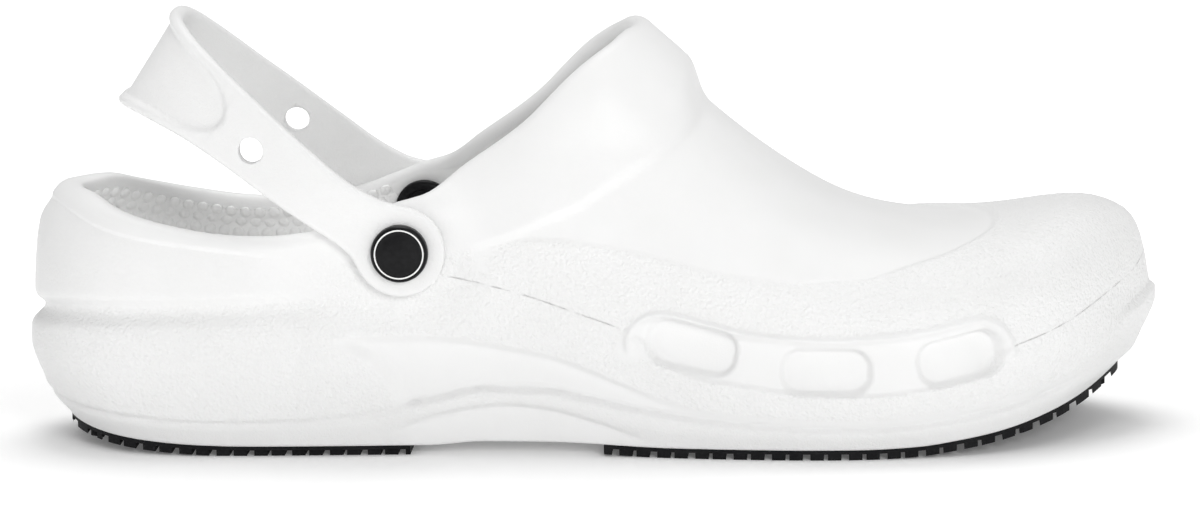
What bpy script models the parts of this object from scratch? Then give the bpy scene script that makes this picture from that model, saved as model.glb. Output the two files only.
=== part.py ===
"""White moulded chef clog for the right foot, with a pivoting heel strap.

Metres, +Z up. The heel is at -X, the toe at +X, and the lateral side at -Y.
The clog stands on Z = 0 and its box is centred on X = Y = 0.
"""

import math

import bmesh
import bpy
import numpy as np
from mathutils import Matrix, Vector

TAU = 2 * math.pi

# Overall sizes
LENGTH = 0.290
HALF_WIDTH = 0.0535
INSTEP_HEIGHT = 0.105

# Body
HEEL_BUMPER = 0.0012
TOE_BUMPER = 0.0017
LAST_LENGTH = LENGTH - HEEL_BUMPER - TOE_BUMPER
LAST_HEEL = HEEL_BUMPER - LENGTH / 2
WALL = 0.0045
SOLE_TUCK = 0.0035
HEEL_TUCK = 0.0046
TOE_TUCK = 0.0042
EDGE_SOFT = 0.0010
BUMPER_FADE = 0.0040
FOOTBED_FILLET = 0.007
GROOVE_DEPTH = 0.0026
GROOVE_SPREAD = 0.0026
FLUTE_DEPTH = 0.0030
VENT_BAND_DEPTH = 0.0009
COLLAR_STEP = 0.0009
COLLAR_ROLL = 0.0039
COLUMNS = 72

# Blind oval vents on the side wall
VENT_DEPTH = 0.0021
VENT_CUT_PROUD = 0.0040

# Strap and rivets
PIVOT_X = LENGTH * (0.34345 - 0.5)
PIVOT_Z = INSTEP_HEIGHT * 0.5019
GAP = 0.0003
BUTTON_GAP = 0.0005
SEAT_RADIUS = 0.0138
SEAT_FADE = 0.0120
SEAT_STRETCH = 1.8
STRAP_TILT = math.radians(33)
STRAP_REACH = 0.0820
STRAP_THICKNESS = 0.0025
STRAP_BEAD = 0.0013
STRAP_EDGE = 0.0024
STRAP_ROUND = 0.0005
STRAP_FULL = 0.0075
EAR_RADIUS = 0.0112
STRAP_HOLE_RADIUS = 0.0032
STRAP_HOLE_AT = 0.0452
STRAP_HOLE_MEDIAL = 0.0408
STRAP_HOLE_UP = 0.0007
STRAP_HOLE_MEDIAL_UP = 0.0021
STRAP_PANEL_AT = 0.0570
STRAP_POWER = 3.0
STRAP_CLOSE = 0.010
RIVET_RADIUS = 0.0072
RIVET_HEIGHT = 0.0030
SHAFT_RADIUS = 0.0025
BUTTON_RADIUS = 0.0075
BUTTON_HEIGHT = 0.0022
BUTTON_ROOM = 0.0020

# Rubber pads under the sole
PAD_BASE = 0.0008
LUG_HEIGHT = 0.0015
PAD_THICKNESS = PAD_BASE + LUG_HEIGHT
LUG_PITCH = 0.0096
LUG_GAP = 0.0019
LUG_WIDTH = 0.0150
PAD_INSET = 0.0004
HEEL_PAD_END = 0.358
FOREFOOT_PAD_START = 0.503
SOLE_STACK = PAD_THICKNESS + GAP

# Plan of the widest line of the wall. Station is a share of LAST_LENGTH from
# the heel, and the half widths are shares of HALF_WIDTH.
PLAN = (
    # station, lateral, medial
    (0.000, 0.010, -0.010),
    (0.020, 0.388, 0.368),
    (0.070, 0.640, 0.612),
    (0.160, 0.752, 0.733),
    (0.280, 0.775, 0.730),
    (0.400, 0.775, 0.712),
    (0.500, 0.834, 0.778),
    (0.600, 0.931, 0.905),
    (0.700, 0.996, 0.996),
    (0.780, 0.978, 0.985),
    (0.860, 0.860, 0.905),
    (0.940, 0.545, 0.700),
    (0.985, 0.165, 0.405),
    (1.000, -0.121, 0.121),
)

# Crown is the top of the virtual last over the shoulder line, a share of
# INSTEP_HEIGHT. It runs on over the open collar.
CROWN = (
    # station, crown
    (0.0000, 0.340),
    (0.0045, 0.513),
    (0.0136, 0.575),
    (0.0230, 0.611),
    (0.0400, 0.655),
    (0.0738, 0.755),
    (0.1050, 0.820),
    (0.1400, 0.838),
    (0.2000, 0.825),
    (0.2745, 0.805),
    (0.3370, 0.812),
    (0.3800, 0.840),
    (0.4277, 0.935),
    (0.4556, 1.010),
    (0.4900, 1.060),
    (0.5180, 1.035),
    (0.5413, 0.973),
    (0.5670, 0.908),
    (0.6010, 0.817),
    (0.6364, 0.731),
    (0.6890, 0.625),
    (0.7245, 0.570),
    (0.7600, 0.537),
    (0.7955, 0.522),
    (0.8666, 0.526),
    (0.9021, 0.541),
    (0.9377, 0.550),
    (0.9732, 0.526),
    (0.9910, 0.468),
    (1.0000, 0.340),
)

# Shoulder is the height of the widest line: heel groove, parting line, top
# of the vent band and toe bumper. Squareness is the power of the section.
SHOULDER = (
    # station, shoulder, squareness, ridge
    (0.000, 0.332, 2.00, 0.000),
    (0.045, 0.355, 2.00, 0.000),
    (0.100, 0.362, 2.00, 0.000),
    (0.200, 0.370, 2.00, 0.000),
    (0.300, 0.395, 2.00, 0.000),
    (0.380, 0.420, 2.05, 0.000),
    (0.455, 0.385, 2.20, 0.000),
    (0.520, 0.340, 2.30, 0.000),
    (0.620, 0.315, 2.30, 0.015),
    (0.720, 0.290, 2.30, 0.040),
    (0.800, 0.300, 2.40, 0.065),
    (0.880, 0.322, 2.50, 0.080),
    (0.940, 0.332, 2.50, 0.100),
    (1.000, 0.340, 2.50, 0.121),
)

# Underside and footbed, shares of INSTEP_HEIGHT. Rise is above the flat of the pads.
SOLE = (
    # station, rise, footbed
    (0.000, 0.064, 0.262),
    (0.030, 0.041, 0.245),
    (0.070, 0.021, 0.232),
    (0.110, 0.010, 0.228),
    (0.165, 0.002, 0.228),
    (0.200, 0.000, 0.227),
    (0.362, 0.000, 0.216),
    (0.410, 0.009, 0.207),
    (0.465, 0.009, 0.196),
    (0.580, 0.000, 0.172),
    (0.740, 0.000, 0.162),
    (0.790, 0.004, 0.166),
    (0.830, 0.016, 0.178),
    (0.865, 0.030, 0.194),
    (0.900, 0.051, 0.213),
    (0.935, 0.079, 0.236),
    (0.970, 0.121, 0.270),
    (1.000, 0.160, 0.300),
)

# Line of the collar. Turn is the column's angle in degrees, 0 at the toe and
# 180 at the heel. Radius is that of the outer half of the rim over
# INSTEP_HEIGHT; inner is the width of its inner half over the radius.
COLLAR = (
    # turn, station, radius, inner
    (0, 0.5460, 0.0290, 1.00),
    (40, 0.5375, 0.0290, 1.00),
    (60, 0.5250, 0.0290, 1.00),
    (75, 0.5040, 0.0295, 1.00),
    (85, 0.4765, 0.0290, 1.00),
    (95, 0.4280, 0.0265, 1.00),
    (105, 0.3650, 0.0245, 1.00),
    (115, 0.2950, 0.0260, 1.00),
    (130, 0.1800, 0.0350, 0.80),
    (150, 0.0790, 0.0400, 0.50),
    (165, 0.0370, 0.0435, 0.36),
    (180, 0.0230, 0.0445, 0.32),
)

# Height of the outer edge of the rim, a share of INSTEP_HEIGHT
RIM = (
    # station, height
    (0.0230, 0.611),
    (0.0474, 0.600),
    (0.0738, 0.572),
    (0.1014, 0.550),
    (0.1270, 0.534),
    (0.1770, 0.513),
    (0.2257, 0.507),
    (0.2640, 0.518),
    (0.2880, 0.535),
    (0.3187, 0.566),
    (0.3370, 0.586),
    (0.3755, 0.638),
    (0.4033, 0.689),
    (0.4350, 0.746),
    (0.4566, 0.788),
    (0.4790, 0.838),
    (0.5080, 0.903),
    (0.5270, 0.938),
    (0.5413, 0.960),
    (0.5460, 0.960),
)

# Flute along the arch, and the smooth groove that runs on from it
FLUTE = (
    # station, top, bottom, depth
    (0.265, 0.275, 0.255, 0.00),
    (0.300, 0.302, 0.220, 0.55),
    (0.340, 0.304, 0.135, 1.00),
    (0.375, 0.302, 0.146, 1.00),
    (0.415, 0.284, 0.168, 0.95),
    (0.475, 0.252, 0.166, 0.80),
    (0.533, 0.191, 0.140, 0.50),
    (0.570, 0.151, 0.113, 0.30),
    (0.604, 0.127, 0.099, 0.28),
    (0.733, 0.105, 0.076, 0.28),
    (0.810, 0.117, 0.088, 0.28),
    (0.887, 0.148, 0.119, 0.28),
    (0.917, 0.167, 0.138, 0.00),
)

# Lower edge of the band of vents, and lower edge of the collar band
EDGES = (
    # station, vent_bottom, collar_bottom
    (0.400, 0.260, 0.500),
    (0.436, 0.260, 0.529),
    (0.471, 0.255, 0.571),
    (0.495, 0.250, 0.598),
    (0.524, 0.240, 0.649),
    (0.550, 0.215, 0.690),
    (0.604, 0.189, 0.790),
    (0.647, 0.172, 0.860),
    (0.707, 0.161, 0.900),
    (0.759, 0.162, 0.900),
    (0.802, 0.173, 0.900),
    (0.836, 0.183, 0.900),
    (0.870, 0.240, 0.900),
)

# Blind ovals: length and height are shares of LENGTH, tilt in degrees
VENTS = (
    # station, height, length, width, tilt
    (0.5955, 0.274, 0.0775, 0.0400, -11),
    (0.7120, 0.215, 0.0780, 0.0400, 0),
    (0.8297, 0.240, 0.0740, 0.0390, 11),
)

# Heel strap along its path from the lateral ear. Upper and lower edges are
# shares of EAR_RADIUS, measured across the band.
STRAP = (
    # share of half path, upper, lower
    (0.000, 1.00, -1.00),
    (0.030, 0.97, -0.97),
    (0.060, 0.89, -0.87),
    (0.090, 0.80, -0.72),
    (0.120, 0.74, -0.63),
    (0.190, 0.70, -0.60),
    (0.330, 0.81, -0.61),
    (0.480, 0.97, -0.59),
    (0.620, 1.12, -0.64),
    (0.760, 1.29, -0.80),
    (0.880, 1.41, -1.00),
    (1.000, 1.45, -1.17),
)


def column(rows, index):
    """One column of a table."""
    return np.array([row[index] for row in rows], float)


def ease(low, high, value):
    """Smooth step from 0 at low to 1 at high."""
    share = np.clip((value - low) / (high - low), 0, 1)
    return share * share * (3 - 2 * share)


def between(stations, values, at):
    """Monotone cubic curve through the rows of a table."""
    step = np.diff(stations)
    slope = np.diff(values) / step
    lean = np.zeros(len(stations))
    lean[0] = slope[0]
    lean[-1] = slope[-1]
    for i in range(1, len(stations) - 1):
        if slope[i - 1] * slope[i] > 0:
            first = 2 * step[i] + step[i - 1]
            second = step[i] + 2 * step[i - 1]
            lean[i] = (first + second) / (first / slope[i - 1] + second / slope[i])
    at = np.clip(at, stations[0], stations[-1])
    i = np.clip(np.searchsorted(stations, at) - 1, 0, len(step) - 1)
    t = (at - stations[i]) / step[i]
    return (
        values[i] * (1 + 2 * t) * (1 - t) ** 2
        + values[i + 1] * t * t * (3 - 2 * t)
        + step[i] * lean[i] * t * (1 - t) ** 2
        + step[i] * lean[i + 1] * t * t * (t - 1)
    )


def loop_spline(knots, values):
    """Closed cubic spline over angles; gives its value at any angle."""
    count = len(knots)
    step = np.diff(np.append(knots, knots[0] + TAU))
    slope = (np.roll(values, -1) - values) / step
    grid = np.zeros((count, count))
    for i in range(count):
        grid[i, i - 1] += step[i - 1]
        grid[i, i] += 2 * (step[i - 1] + step[i])
        grid[i, (i + 1) % count] += step[i]
    bend = np.linalg.solve(grid, 6 * (slope - np.roll(slope, 1)))

    def at(angle):
        angle = np.mod(angle - knots[0], TAU) + knots[0]
        i = np.clip(np.searchsorted(knots, angle, side="right") - 1, 0, count - 1)
        j = (i + 1) % count
        a = angle - knots[i]
        b = step[i] - a
        return (
            (bend[i] * b**3 + bend[j] * a**3) / (6 * step[i])
            + (values[i] / step[i] - bend[i] * step[i] / 6) * b
            + (values[j] / step[i] - bend[j] * step[i] / 6) * a
        )

    return at


def closed_curve(turns, near_zero, past_half):
    """Closed spline from values on the medial half and on the lateral half.

    The rows run from the toe, turn 0, to the heel, turn pi.
    """
    knots = np.concatenate([turns, TAU - turns[-2:0:-1]])
    values = np.concatenate([near_zero, past_half[-2:0:-1]])
    return loop_spline(knots, values)


def turn_of(station):
    """Angle of a column whose outline point is at this station."""
    return np.arccos(np.clip(2 * station - 1, -1, 1))


def by_station(rows, index):
    """Even closed spline of one column of a table kept by station."""
    turns = turn_of(column(rows, 0))[::-1]
    values = column(rows, index)[::-1]
    return closed_curve(turns, values, values)


plan_y = closed_curve(
    turn_of(column(PLAN, 0))[::-1],
    column(PLAN, 2)[::-1] * HALF_WIDTH,
    -column(PLAN, 1)[::-1] * HALF_WIDTH,
)
crown_at = by_station(CROWN, 1)
collar_station = closed_curve(
    np.radians(column(COLLAR, 0)), column(COLLAR, 1), column(COLLAR, 1)
)
collar_radius = closed_curve(
    np.radians(column(COLLAR, 0)), column(COLLAR, 2), column(COLLAR, 2)
)
collar_inner = closed_curve(
    np.radians(column(COLLAR, 0)), column(COLLAR, 3), column(COLLAR, 3)
)


def station_of(x):
    return np.clip((x - LAST_HEEL) / LAST_LENGTH, 0, 1)


def x_of(station):
    return LAST_HEEL + station * LAST_LENGTH


def row_value(rows, index, station):
    return between(column(rows, 0), column(rows, index), station)


def shoulder(station):
    return row_value(SHOULDER, 1, station) * INSTEP_HEIGHT


def under(station):
    """Height of the underside of the body over the ground."""
    return SOLE_STACK + row_value(SOLE, 1, station) * INSTEP_HEIGHT


def footbed(station):
    return row_value(SOLE, 2, station) * INSTEP_HEIGHT


def dome(x, y):
    """Height of the virtual last over a point of the plan."""
    station = station_of(x)
    turn = turn_of(station)
    low = shoulder(station)
    power = row_value(SHOULDER, 2, station)
    ridge = row_value(SHOULDER, 3, station) * HALF_WIDTH
    medial = plan_y(turn)
    lateral = plan_y(TAU - turn)
    width = np.where(y > ridge, medial - ridge, ridge - lateral)
    share = np.clip(np.abs(y - ridge) / np.maximum(width, 1e-6), 0, 1)
    tall = crown_at(turn) * INSTEP_HEIGHT - low
    return low + tall * (1 - share**power) ** (1 / power)


def seat_distance(x, z):
    """Distance from the pivot; the seat reaches further back, under the arm."""
    back = (x - PIVOT_X) / np.where(x < PIVOT_X, SEAT_STRETCH, 1)
    return np.hypot(back, z - PIVOT_Z)


def collar_plan(phi):
    """Plan position of the outer edge of the rim on each column."""
    station = collar_station(phi)
    turn = turn_of(station)
    low = shoulder(station)
    power = row_value(SHOULDER, 2, station)
    ridge = row_value(SHOULDER, 3, station) * HALF_WIDTH
    tall = crown_at(turn) * INSTEP_HEIGHT - low
    height = row_value(RIM, 1, station) * INSTEP_HEIGHT - low
    share = np.clip(1 - np.clip(height / tall, 0, 1) ** power, 0, 1) ** (1 / power)
    medial = plan_y(turn)
    lateral = plan_y(TAU - turn)
    side = np.where(np.mod(phi, TAU) <= math.pi, medial, lateral)
    return x_of(station), ridge + (side - ridge) * share


def last_point(phi, tau):
    """Point of the plain wall.

    tau runs from -1 at the sole edge, through 0 at the shoulder line, to 1
    at the rim.
    """
    x0 = LAST_HEEL + LAST_LENGTH * (1 + np.cos(phi)) / 2
    y0 = plan_y(phi)
    # upper: straight in plan from the outline to the collar
    kx, ky = collar_plan(phi)
    run = 1 - np.cos(np.clip(tau, 0, 1.02) * math.pi / 2)
    ux = x0 + (kx - x0) * run
    uy = y0 + (ky - y0) * run
    uz = dome(ux, uy)
    # lower: turns in towards the sole edge
    e = 0.01
    dx = -LAST_LENGTH / 2 * np.sin(phi)
    dy = (plan_y(phi + e) - plan_y(phi - e)) / (2 * e)
    long = np.hypot(dx, dy)
    nx, ny = dy / long, -dx / long
    end = (1 + np.cos(phi)) / 2
    tuck = SOLE_TUCK + HEEL_TUCK * ease(0.16, 0.0, end) + TOE_TUCK * ease(0.84, 1.0, end)
    down = np.clip(-tau, 0, 1)
    top = shoulder(end)
    full = 0.62 + 0.15 * ease(0.7, 1.0, end)
    turn_in = np.clip((down - (1 - full)) / full, 0, 1) ** 1.4
    lx = x0 - nx * tuck * turn_in
    ly = y0 - ny * tuck * turn_in
    sole = under(station_of(lx))
    lz = top + (sole - top) * down
    upper = tau > 0
    x = np.where(upper, ux, lx)
    y = np.where(upper, uy, ly)
    z = np.where(upper, uz, lz)
    # flat seats of the strap ears
    for sign, seat in ((-1, SEAT_LATERAL), (1, SEAT_MEDIAL)):
        away = seat_distance(x, z)
        pull = ease(SEAT_RADIUS + SEAT_FADE, SEAT_RADIUS, away) * (y * sign > 0)
        pull = pull * ease(PIVOT_Z + SEAT_FADE * 1.7, PIVOT_Z + SEAT_FADE * 0.8, z)
        y = y + (seat * sign - y) * pull
    return np.stack([x, y, z], -1)


def seat_height(side):
    """Half width of the wall at the pivot on one side, +1 medial."""
    station = station_of(np.array([PIVOT_X]))
    turn = turn_of(station)
    low = shoulder(station)
    tall = crown_at(turn) * INSTEP_HEIGHT - low
    share = np.sqrt(1 - ((PIVOT_Z - low) / tall) ** 2)
    edge = plan_y(turn) if side > 0 else plan_y(TAU - turn)
    return abs(float((edge * share)[0]))


SEAT_LATERAL = seat_height(-1)
SEAT_MEDIAL = seat_height(1)


def frame_at(phi, tau):
    """Point and outward normal of the plain wall."""
    e = 0.004
    point = last_point(phi, tau)
    along = last_point(phi + e, tau) - last_point(phi - e, tau)
    high = np.minimum(tau + e, 1.01)
    low = np.maximum(tau - e, -1)
    up = last_point(phi, high) - last_point(phi, low)
    normal = np.cross(along, up)
    normal /= np.linalg.norm(normal, axis=-1, keepdims=True)
    return point, normal


def relief(point, tau):
    """Height of the moulded forms over the plain wall."""
    x, y, z = point[..., 0], point[..., 1], point[..., 2]
    station = station_of(x)
    low = shoulder(station)
    clear = ease(SEAT_RADIUS, SEAT_RADIUS + SEAT_FADE, seat_distance(x, z))
    out = np.zeros_like(x)
    # groove round the heel, and the bumper below it
    depth = GROOVE_DEPTH * (0.45 + 0.55 * ease(0.16, 0.0, station)) * ease(0.31, 0.22, station)
    out -= depth * np.exp(-(((z - low) / GROOVE_SPREAD) ** 2))
    out += HEEL_BUMPER * ease(low, low - BUMPER_FADE, z) * ease(0.34, 0.08, station)
    # toe bumper
    toe_edge = ease(low + EDGE_SOFT, low - EDGE_SOFT * 2, z)
    out += TOE_BUMPER * toe_edge * ease(0.93, 0.985, station)
    # flute in the arch
    top = row_value(FLUTE, 1, station) * INSTEP_HEIGHT
    bottom = row_value(FLUTE, 2, station) * INSTEP_HEIGHT
    deep = row_value(FLUTE, 3, station) * FLUTE_DEPTH
    inside = np.clip((z - bottom) / (top - bottom), 0, 1)
    out -= deep * np.sin(math.pi * inside) ** 0.8
    # band of vents
    vent_low = row_value(EDGES, 1, station) * INSTEP_HEIGHT
    band = ease(vent_low - EDGE_SOFT, vent_low + EDGE_SOFT, z)
    band *= ease(low + EDGE_SOFT * 1.5, low - EDGE_SOFT * 0.5, z)
    out -= VENT_BAND_DEPTH * band * ease(0.535, 0.55, station) * ease(0.872, 0.858, station)
    # band and roll of the collar
    edge = row_value(EDGES, 2, station) * INSTEP_HEIGHT
    band = ease(edge - EDGE_SOFT, edge + EDGE_SOFT * 1.2, z) * ease(0.36, 0.40, station)
    rear = ease(0.50, 0.80, tau) * ease(0.44, 0.36, station)
    out += COLLAR_STEP * np.maximum(band, rear * 0.6) * ease(0.612, 0.590, station)
    roll = ease(INSTEP_HEIGHT * 0.724, INSTEP_HEIGHT * 0.876, z)
    roll = roll * ease(0.607, 0.578, station) * ease(0.42, 0.54, station)
    out += COLLAR_ROLL * roll
    return out * clear * ease(-1.0, -0.8, tau)


def wall_rows(phi, taus):
    """Outer rows of the body from the sole edge to the rim."""
    rows = []
    for tau in taus:
        point, normal = frame_at(phi, np.full_like(phi, tau))
        height = relief(point, np.full_like(phi, tau))
        rows.append(point + normal * height[:, None])
    return rows


def rim_rows(phi, steps):
    """Rounded rim, from the outer edge over to the inner one."""
    one = np.ones_like(phi)
    point, normal = frame_at(phi, one)
    height = relief(point, one)
    edge = point + normal * height[:, None]
    radius = collar_radius(phi) * INSTEP_HEIGHT
    inner = radius * np.clip(collar_inner(phi), 0.3, 1.0)
    along = np.roll(edge, -1, axis=0) - np.roll(edge, 1, axis=0)
    along /= np.linalg.norm(along, axis=1, keepdims=True)
    up = np.cross(along, normal)
    up /= np.linalg.norm(up, axis=1, keepdims=True)
    up *= np.sign(up[:, 2:3])
    centre = edge - normal * radius[:, None]
    rows = []
    for i in range(1, steps + 1):
        angle = math.pi * i / steps
        reach = radius if math.cos(angle) > 0 else inner
        rows.append(
            centre
            + normal * (reach * math.cos(angle))[:, None]
            + up * (radius * math.sin(angle))[:, None]
        )
    return rows, radius + inner - height


def lining_rows(phi, rim_thickness, count, fillet_steps):
    """Inner rows from the rim down to the edge of the footbed."""
    samples = []
    for tau in np.linspace(1, -0.8, 73):
        point, normal = frame_at(phi, np.full_like(phi, tau))
        away = seat_distance(point[:, 0], point[:, 2])
        free = ease(BUTTON_RADIUS + BUTTON_ROOM, BUTTON_RADIUS + BUTTON_ROOM * 2, away)
        blend = ease(0.66, 1.0, tau) * free
        thick = WALL + (rim_thickness - WALL) * blend
        samples.append(point - normal * thick[:, None])
    samples = np.array(samples)
    rows = [np.zeros((len(phi), 3)) for _ in range(count + fillet_steps)]
    for i in range(len(phi)):
        path = samples[:, i]
        drop = np.maximum.accumulate(path[0, 2] - path[:, 2])
        floor = footbed(station_of(path[:, 0]))
        over = path[:, 2] - floor
        last = int(np.argmax(over < FOOTBED_FILLET))
        share = (over[last - 1] - FOOTBED_FILLET) / (over[last - 1] - over[last])
        reach = np.concatenate([[0], np.cumsum(np.linalg.norm(np.diff(path, axis=0), axis=1))])
        end = reach[last - 1] + share * (reach[last] - reach[last - 1])
        wanted = np.linspace(0, 1, count + 1)[1:] * end
        for k, value in enumerate(wanted):
            rows[k][i] = [np.interp(value, reach, path[:, c]) for c in range(3)]
    base = rows[count - 1]
    along = np.roll(base, -1, axis=0) - np.roll(base, 1, axis=0)
    inward = np.stack([-along[:, 1], along[:, 0]], -1)
    inward /= np.linalg.norm(inward, axis=1, keepdims=True)
    centre = base[:, :2].mean(axis=0)
    flip = np.sign(np.sum(inward * (centre - base[:, :2]), axis=1))
    inward *= np.where(flip == 0, 1, flip)[:, None]
    for k in range(1, fillet_steps + 1):
        angle = math.pi / 2 * k / fillet_steps
        row = base.copy()
        row[:, :2] += inward * FOOTBED_FILLET * (1 - math.cos(angle))
        lift = FOOTBED_FILLET * (1 - math.sin(angle))
        row[:, 2] = footbed(station_of(row[:, 0])) + lift
        rows[count + k - 1] = row
    return rows


def close_across(points, faces, ring, heights, parts):
    """Close a ring of columns with strips from the medial to the lateral side."""
    count = len(ring)
    lines = [[ring[0]]]
    for i in range(1, count // 2):
        left = np.array(points[ring[i]])
        right = np.array(points[ring[count - i]])
        line = [ring[i]]
        for j in range(1, parts):
            spot = left + (right - left) * j / parts
            spot[2] = float(heights(station_of(np.array([spot[0]])))[0])
            line.append(len(points))
            points.append(tuple(spot))
        line.append(ring[count - i])
        lines.append(line)
    lines.append([ring[count // 2]])
    for a, b in zip(lines[:-1], lines[1:]):
        if len(a) == 1:
            for j in range(parts):
                faces.append((a[0], b[j], b[j + 1]))
        elif len(b) == 1:
            for j in range(parts):
                faces.append((a[j], b[0], a[j + 1]))
        else:
            for j in range(parts):
                faces.append((a[j], b[j], b[j + 1], a[j + 1]))


def make_object(name, points, faces, material, smooth_angle=40):
    mesh = bpy.data.meshes.new(name)
    mesh.from_pydata([tuple(map(float, p)) for p in points], [], faces)
    work = bmesh.new()
    work.from_mesh(mesh)
    bmesh.ops.remove_doubles(work, verts=work.verts, dist=1e-6)
    bmesh.ops.recalc_face_normals(work, faces=work.faces)
    work.to_mesh(mesh)
    work.free()
    for polygon in mesh.polygons:
        polygon.use_smooth = True
    mesh.set_sharp_from_angle(angle=math.radians(smooth_angle))
    obj = bpy.data.objects.new(name, mesh)
    bpy.context.scene.collection.objects.link(obj)
    if material:
        mesh.materials.append(material)
    return obj


def make_material(name, colour, roughness, coat=0.0):
    material = bpy.data.materials.new(name)
    material.use_nodes = True
    shader = material.node_tree.nodes["Principled BSDF"]
    shader.inputs["Base Color"].default_value = (*colour, 1)
    shader.inputs["Roughness"].default_value = roughness
    shader.inputs["Coat Weight"].default_value = coat
    return material


def cut_with(target, cutter):
    cutter.hide_render = True
    cutter.display_type = "WIRE"
    modifier = target.modifiers.new("cut", "BOOLEAN")
    modifier.operation = "DIFFERENCE"
    modifier.solver = "EXACT"
    modifier.object = cutter


def settle(obj, cutters=()):
    """Apply the modifiers and remove the cutters."""
    bpy.context.view_layer.update()
    graph = bpy.context.evaluated_depsgraph_get()
    mesh = bpy.data.meshes.new_from_object(obj.evaluated_get(graph))
    obj.modifiers.clear()
    obj.data = mesh
    for cutter in cutters:
        bpy.data.objects.remove(cutter)


def disc_stack(profile, sides, axis_sign):
    """Solid of revolution round Y from rows of (radius, distance along Y)."""
    points = []
    faces = []
    for radius, along in profile:
        for k in range(sides):
            angle = TAU * k / sides
            points.append((
                PIVOT_X + radius * math.cos(angle),
                along * axis_sign,
                PIVOT_Z + radius * math.sin(angle),
            ))
    for r in range(len(profile) - 1):
        for k in range(sides):
            n = (k + 1) % sides
            faces.append((r * sides + k, r * sides + n, (r + 1) * sides + n, (r + 1) * sides + k))
    faces.append(tuple(range(sides)))
    faces.append(tuple((len(profile) - 1) * sides + k for k in range(sides)))
    return points, faces


# Start from an empty file
for item in list(bpy.data.objects):
    bpy.data.objects.remove(item)

foam = make_material("clog_foam", (0.86, 0.86, 0.85), 0.42)
strap_foam = make_material("strap_foam", (0.86, 0.86, 0.85), 0.40)
heel_rubber = make_material("heel_rubber", (0.02, 0.02, 0.022), 0.55)
toe_rubber = make_material("forefoot_rubber", (0.02, 0.02, 0.022), 0.55)


def build_body():
    phi = np.arange(COLUMNS) * TAU / COLUMNS
    taus = [-1, -0.92, -0.82, -0.70, -0.57, -0.44, -0.31, -0.19, -0.09, 0]
    taus += [0.08, 0.17, 0.27, 0.37, 0.48, 0.59, 0.70, 0.79, 0.86, 0.91, 0.94, 0.97, 1]
    rows = wall_rows(phi, taus)
    rim, thickness = rim_rows(phi, 4)
    rows += rim
    rows += lining_rows(phi, thickness, 6, 3)
    points = [tuple(p) for row in rows for p in row]
    faces = []
    for r in range(len(rows) - 1):
        for k in range(COLUMNS):
            n = (k + 1) % COLUMNS
            faces.append((
                r * COLUMNS + k,
                r * COLUMNS + n,
                (r + 1) * COLUMNS + n,
                (r + 1) * COLUMNS + k,
            ))
    first = list(range(COLUMNS))
    last = [(len(rows) - 1) * COLUMNS + k for k in range(COLUMNS)]
    close_across(points, faces, first, under, 4)
    close_across(points, faces, last, footbed, 4)
    return make_object("clog_body", points, faces, foam)


def vent_cutters():
    """Oval plugs that sink the blind vents, and the hole of the rivets."""
    points = []
    faces = []
    sides = 28
    for station, height, length, width, tilt in VENTS:
        for side in (-1, 1):
            turn = float(turn_of(np.array([station]))[0])
            phi = turn if side > 0 else TAU - turn
            top = float(shoulder(np.array([station]))[0])
            sole = float(under(np.array([station]))[0])
            tau = -(top - height * INSTEP_HEIGHT) / (top - sole)
            spot, normal = frame_at(np.array([phi]), np.array([tau]))
            spot = Vector(spot[0])
            out = Vector((normal[0][0], normal[0][1], 0)).normalized()
            ahead = out.cross(Vector((0, 0, 1)))
            if ahead.x < 0:
                ahead = -ahead
            turned = Matrix.Rotation(-math.radians(tilt), 3, Vector((0, 1, 0)))
            ahead = (turned @ ahead).normalized()
            across = out.cross(ahead).normalized()
            start = len(points)
            for depth, grow in ((-VENT_DEPTH - VENT_BAND_DEPTH, 0.90), (VENT_CUT_PROUD, 1.06)):
                for k in range(sides):
                    angle = TAU * k / sides
                    c = math.copysign(abs(math.cos(angle)) ** 0.85, math.cos(angle))
                    s = math.copysign(abs(math.sin(angle)) ** 0.85, math.sin(angle))
                    spot_k = (
                        spot
                        + out * depth
                        + ahead * (length * LENGTH / 2 * grow * c)
                        + across * (width * LENGTH / 2 * grow * s)
                    )
                    points.append(tuple(spot_k))
            for k in range(sides):
                n = (k + 1) % sides
                faces.append((start + k, start + n, start + sides + n, start + sides + k))
            faces.append(tuple(start + k for k in range(sides)))
            faces.append(tuple(start + sides + k for k in range(sides)))
    start = len(points)
    hole, hole_faces = disc_stack(
        [(SHAFT_RADIUS + GAP, -HALF_WIDTH), (SHAFT_RADIUS + GAP, HALF_WIDTH)], 20, 1
    )
    points += hole
    faces += [tuple(start + i for i in face) for face in hole_faces]
    return make_object("body_cuts", points, faces, None)


body = build_body()
cuts = vent_cutters()
cut_with(body, cuts)
settle(body, (cuts,))


def strap_path(side):
    """Dense centre line of one half of the band, from its ear to the back.

    Gives the distance towards the back, the half width, and the distance
    along the band measured from the pivot.
    """
    reach = STRAP_REACH - STRAP_THICKNESS / 2 - STRAP_BEAD
    seat = SEAT_MEDIAL if side > 0 else SEAT_LATERAL
    wide = seat + GAP + STRAP_THICKNESS / 2
    turn = np.linspace(0, 1, 400)
    far = reach * np.sin(turn * math.pi / 2) ** (2 / STRAP_POWER)
    far = np.concatenate([np.linspace(-EAR_RADIUS, -0.0002, 40), far])
    near = np.clip(far, 0, reach) / reach
    close = STRAP_CLOSE * ease(0.20, 0.95, near)
    half = (wide - close) * (1 - near**STRAP_POWER) ** (1 / STRAP_POWER)
    length = np.concatenate([[0], np.cumsum(np.hypot(np.diff(far), np.diff(half)))])
    return far, half, length - EAR_RADIUS


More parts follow.
